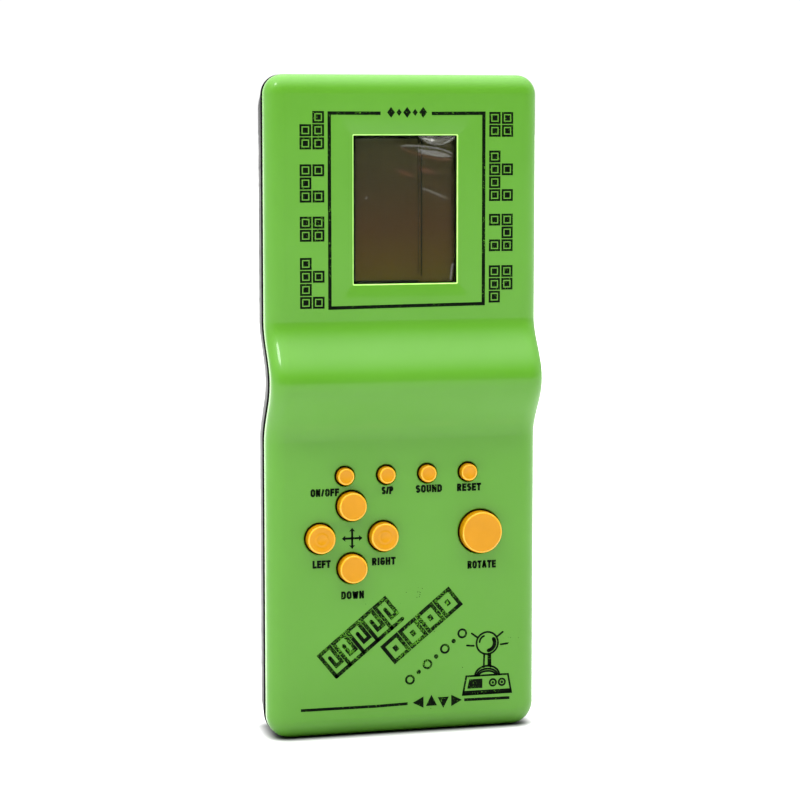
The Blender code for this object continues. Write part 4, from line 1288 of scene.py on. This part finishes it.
def print_labels():
    """The function words under the keys, in plain capitals."""
    bm = bmesh.new()
    for words, left, right, low, high in LABELS:
        widths = [max(x for stroke in LETTERS[letter] for x, _ in stroke) for letter in words]
        spread = ((right - left) * MM - LABEL_WEIGHT) / (sum(widths) + LETTER_GAP * (len(words) - 1))
        tall = (high - low) * MM - LABEL_WEIGHT
        start = left * MM + LABEL_WEIGHT / 2
        foot = low * MM + LABEL_WEIGHT / 2
        for letter, width in zip(words, widths):
            for stroke in LETTERS[letter]:
                closed = stroke[0] == stroke[-1]
                points = [Vector((start + x * spread, foot + z * tall)) for x, z in stroke]
                points = points[:-1] if closed else squared(points, LABEL_WEIGHT / 2)
                put_stroke(bm, points, LABEL_WEIGHT, closed, round_ends=False)
            start += (width + LETTER_GAP) * spread
    return finish_print("print_labels", bm)


def print_arrows():
    """The cross of four arrows between the direction keys."""
    bm = bmesh.new()
    x, z, reach = -15.3 * MM, 56.4 * MM, 2.6 * MM
    for turn in (0, 90, 180, 270):
        way = Vector((math.cos(math.radians(turn)), math.sin(math.radians(turn))))
        side = Vector((-way.y, way.x))
        middle = Vector((x, z))
        tip = middle + way * reach
        put_stroke(bm, [middle, tip - way * 0.4 * MM], 0.62 * MM, round_ends=False)
        put_polygon(bm, [tip + way * 0.4 * MM, tip - way * 0.7 * MM + side * 0.88 * MM,
                         tip - way * 0.5 * MM, tip - way * 0.7 * MM - side * 0.88 * MM])
    return finish_print("print_arrows", bm)


DIAGONAL = math.radians(39)


def on_diagonal(origin, points):
    """Points (along, up) in millimetres on a slanting baseline from the origin."""
    placed = []
    for along, up in points:
        placed.append(((origin[0] + along * math.cos(DIAGONAL) - up * math.sin(DIAGONAL)) * MM,
                       (origin[1] + along * math.sin(DIAGONAL) + up * math.cos(DIAGONAL)) * MM))
    return placed


def print_title():
    """Slanting ornament: a key-pattern band, a row of nested squares and a row of dots."""
    bm = bmesh.new()
    weight = 1.12 * MM
    first = (-19.9, 17.4)
    unit, height = 5.15, 7.9
    for i in range(5):
        a = i * unit
        key = [(a, 0.0), (a, height), (a + 3.9, height), (a + 3.9, 2.4), (a + 1.9, 2.4), (a + 1.9, 5.4)]
        put_stroke(bm, on_diagonal(first, key), weight)
    put_stroke(bm, on_diagonal(first, [(0.0, 0.0), (5 * unit - 1.1, 0.0)]), weight)

    second = (-2.9, 20.7)
    unit, height = 6.5, 5.7
    for i in range(4):
        a = i * unit
        outer = [(a, 0.0), (a + 5.2, 0.0), (a + 5.2, height), (a, height)]
        put_stroke(bm, on_diagonal(second, outer), weight, closed=True)
        inner = [(a + 1.9, 2.0), (a + 3.3, 2.0), (a + 3.3, height - 2.0), (a + 1.9, height - 2.0)]
        put_polygon(bm, on_diagonal(second, inner))

    third = (2.3, 14.3)
    for i in range(7):
        (x, z), = on_diagonal(third, [(i * 3.3, 1.3)])
        if i % 2 == 0:
            put_stroke(bm, arc(x, z, 1.15 * MM, 0, 360, 20)[:-1], 0.6 * MM, closed=True)
        else:
            put_disc(bm, x, z, 0.65 * MM)
    return finish_print("print_title", bm, WORN_INK)


def print_emblem():
    """A plain joystick drawn in outline, with a dark base."""
    bm = bmesh.new()
    thin = 0.55 * MM
    x, z = 24.3, 9.4

    def at(points):
        return [((x + u) * MM, (z + v) * MM) for u, v in points]

    put_stroke(bm, at(arc(0.0, 15.2, 3.2, 0, 360, 28)[:-1]), thin, closed=True)
    put_stroke(bm, at(arc(0.0, 15.2, 2.2, -80, 30, 14)), 2 * thin)
    put_stroke(bm, at(arc(-0.3, 15.4, 2.0, 110, 175, 8)), thin)
    for side in (-1, 1):
        put_stroke(bm, at([(side * 0.9, 12.1), (side * 1.0, 8.3)]), thin)
        put_stroke(bm, at([(side * 2.9, 16.9), (side * 4.6, 18.2)]), thin)
        put_stroke(bm, at([(side * 4.0, 14.6), (side * 6.0, 14.8)]), thin)
    put_polygon(bm, at([(0.1, 12.1), (0.9, 12.1), (1.0, 8.3), (0.1, 8.3)]))
    for rise in (0.0, 1.1, 2.2):
        put_stroke(bm, at(arc(0.0, 5.9, 3.6 - rise * 0.5, 0, 180, 16, 0.75 - rise * 0.12)), thin)
    corner = [(-7.2, 0.6), (7.2, 0.6), (6.2, 5.9), (-6.2, 5.9)]
    put_stroke(bm, at(corner), thin, closed=True)
    put_polygon(bm, at([(-7.2, 0.6), (7.2, 0.6), (6.9, 1.7), (-6.9, 1.7)]))
    put_polygon(bm, at([(-5.9, 2.3), (-1.4, 2.3), (-1.4, 5.0), (-5.3, 5.0)]))
    for u in (1.7, 4.4):
        put_stroke(bm, at(arc(u, 3.7, 0.95, 0, 360, 16)[:-1]), thin, closed=True)
        put_disc(bm, (x + u) * MM, (z + 3.7) * MM, 0.4 * MM, 10)
    return finish_print("print_emblem", bm)


def print_specks():
    """Stray ink around the slanting ornament and on two smudged tiles."""
    bm = bmesh.new()
    chance = random.Random(9)
    areas = ((4.0, 40.5, 3.2, 14), (-7.5, 37.5, 3.5, 10), (6.0, 32.0, 5.0, 10), (-24.6, 144.0, 1.4, 16),
             (29.4, 159.2, 1.6, 16), (30.5, 25.5, 2.5, 5), (0.0, 30.0, 18.0, 16))
    for x, z, spread, count in areas:
        for _ in range(count):
            put_disc(bm, (x + chance.gauss(0, spread / 2)) * MM, (z + chance.gauss(0, spread / 2)) * MM,
                     chance.uniform(0.04, 0.15) * MM, 7)
    return finish_print("print_specks", bm)


# ---- stage, lights and camera
def make_floor():
    look = Look("pale_floor", IOR=1.4)
    near = look.node("ShaderNodeVectorMath", operation="LENGTH")
    look.join(look.place, near.inputs[0])
    away = look.remap(near.outputs["Value"], 0.15, 1.30, smooth=True)
    paper = look.remap(look.noise(3.0, 3.0), 0.3, 0.7, -0.02, 0.02)
    tone = look.ramp(look.maths("ADD", away, paper), (0.0, (0.76, 0.76, 0.76)), (1.0, (0.93, 0.93, 0.93)))

    def past_base(letter, middle, half):
        """The squared distance past the base along one axis."""
        offset = look.maths("ABSOLUTE", look.maths("SUBTRACT", look.axis(letter), middle), 0.0)
        return look.maths("POWER", look.maths("MAXIMUM", look.maths("SUBTRACT", offset, half), 0.0), 2.0)

    # Painted contact shadow: darker in the narrow gap under the rounded edges
    squared_gap = look.maths("ADD", past_base("X", 0.0, 0.033), past_base("Y", 0.0035, 0.007))
    gap = look.maths("POWER", squared_gap, 0.5)
    look.colour(look.mix(look.remap(gap, 0.001, 0.009, smooth=True), (0.04, 0.05, 0.04), tone))
    look.gloss(40.0, 3.0, 0.50, 0.62)
    bm = bmesh.new()
    bmesh.ops.create_circle(bm, cap_ends=True, segments=96, radius=40.0)
    floor = add_object("floor", bm, look.material)


def make_world():
    """White surroundings, brighter overhead and dimmer on the side that the face looks at."""
    world = bpy.data.worlds.new("studio")
    bpy.context.scene.world = world
    world.use_nodes = True
    sky = Nodes(world.node_tree, "Generated")
    background = next(n for n in sky.tree.nodes if n.type == "BACKGROUND")
    background.inputs["Color"].default_value = (1.0, 1.0, 1.0, 1.0)
    around = sky.remap(sky.axis("Y"), -0.65, -0.2, 0.0, 1.06, smooth=True)
    overhead = sky.remap(sky.axis("Z"), 0.40, 1.0, 0.0, 2.8, smooth=True)
    sky.join(sky.maths("ADD", around, overhead), background.inputs["Strength"])


def add_softbox(name, location, size, power, target):
    light = bpy.data.lights.new(name, "AREA")
    light.shape = "RECTANGLE"
    light.size, light.size_y = size
    light.energy = power
    obj = place_object(name, light)
    obj.location = location
    obj.rotation_euler = (Vector(target) - Vector(location)).to_track_quat("-Z", "Y").to_euler()
    return obj


def make_camera():
    camera = bpy.data.cameras.new("camera")
    camera.lens = 116.2
    camera.sensor_width = 36.0
    obj = place_object("camera", camera)
    obj.location = (-0.1919, -0.6982, 0.1714)
    obj.rotation_euler = (math.radians(90 - 6.10), 0.0, math.radians(-15.42))
    bpy.context.scene.camera = obj


dress_frame()
front_shell()
rear_shell()
battery_cover()
for key in KEYS:
    button_cap(key)
keypad()
for place in CASE_SCREWS:
    case_screw(place)
cell("lower", -90)
cell("upper", 90)
display_film()
display_lines_and_border_shade()
window_wall_shade()
print_borders()
print_ornaments()
print_tiles()
print_labels()
print_arrows()
print_title()
print_emblem()
print_specks()

make_floor()
make_world()
middle = (CAD_LOW + CAD_HIGH) / 2
softbox = add_softbox("softbox_above", (-0.05, -0.16, 1.25), (1.5, 1.2), 25.0, middle)
softbox.visible_glossy = False
add_softbox("small_light", (-0.50, -0.30, 0.82), (0.15, 0.15), 2.0, middle)
make_camera()
bpy.context.scene.view_settings.view_transform = "Standard"
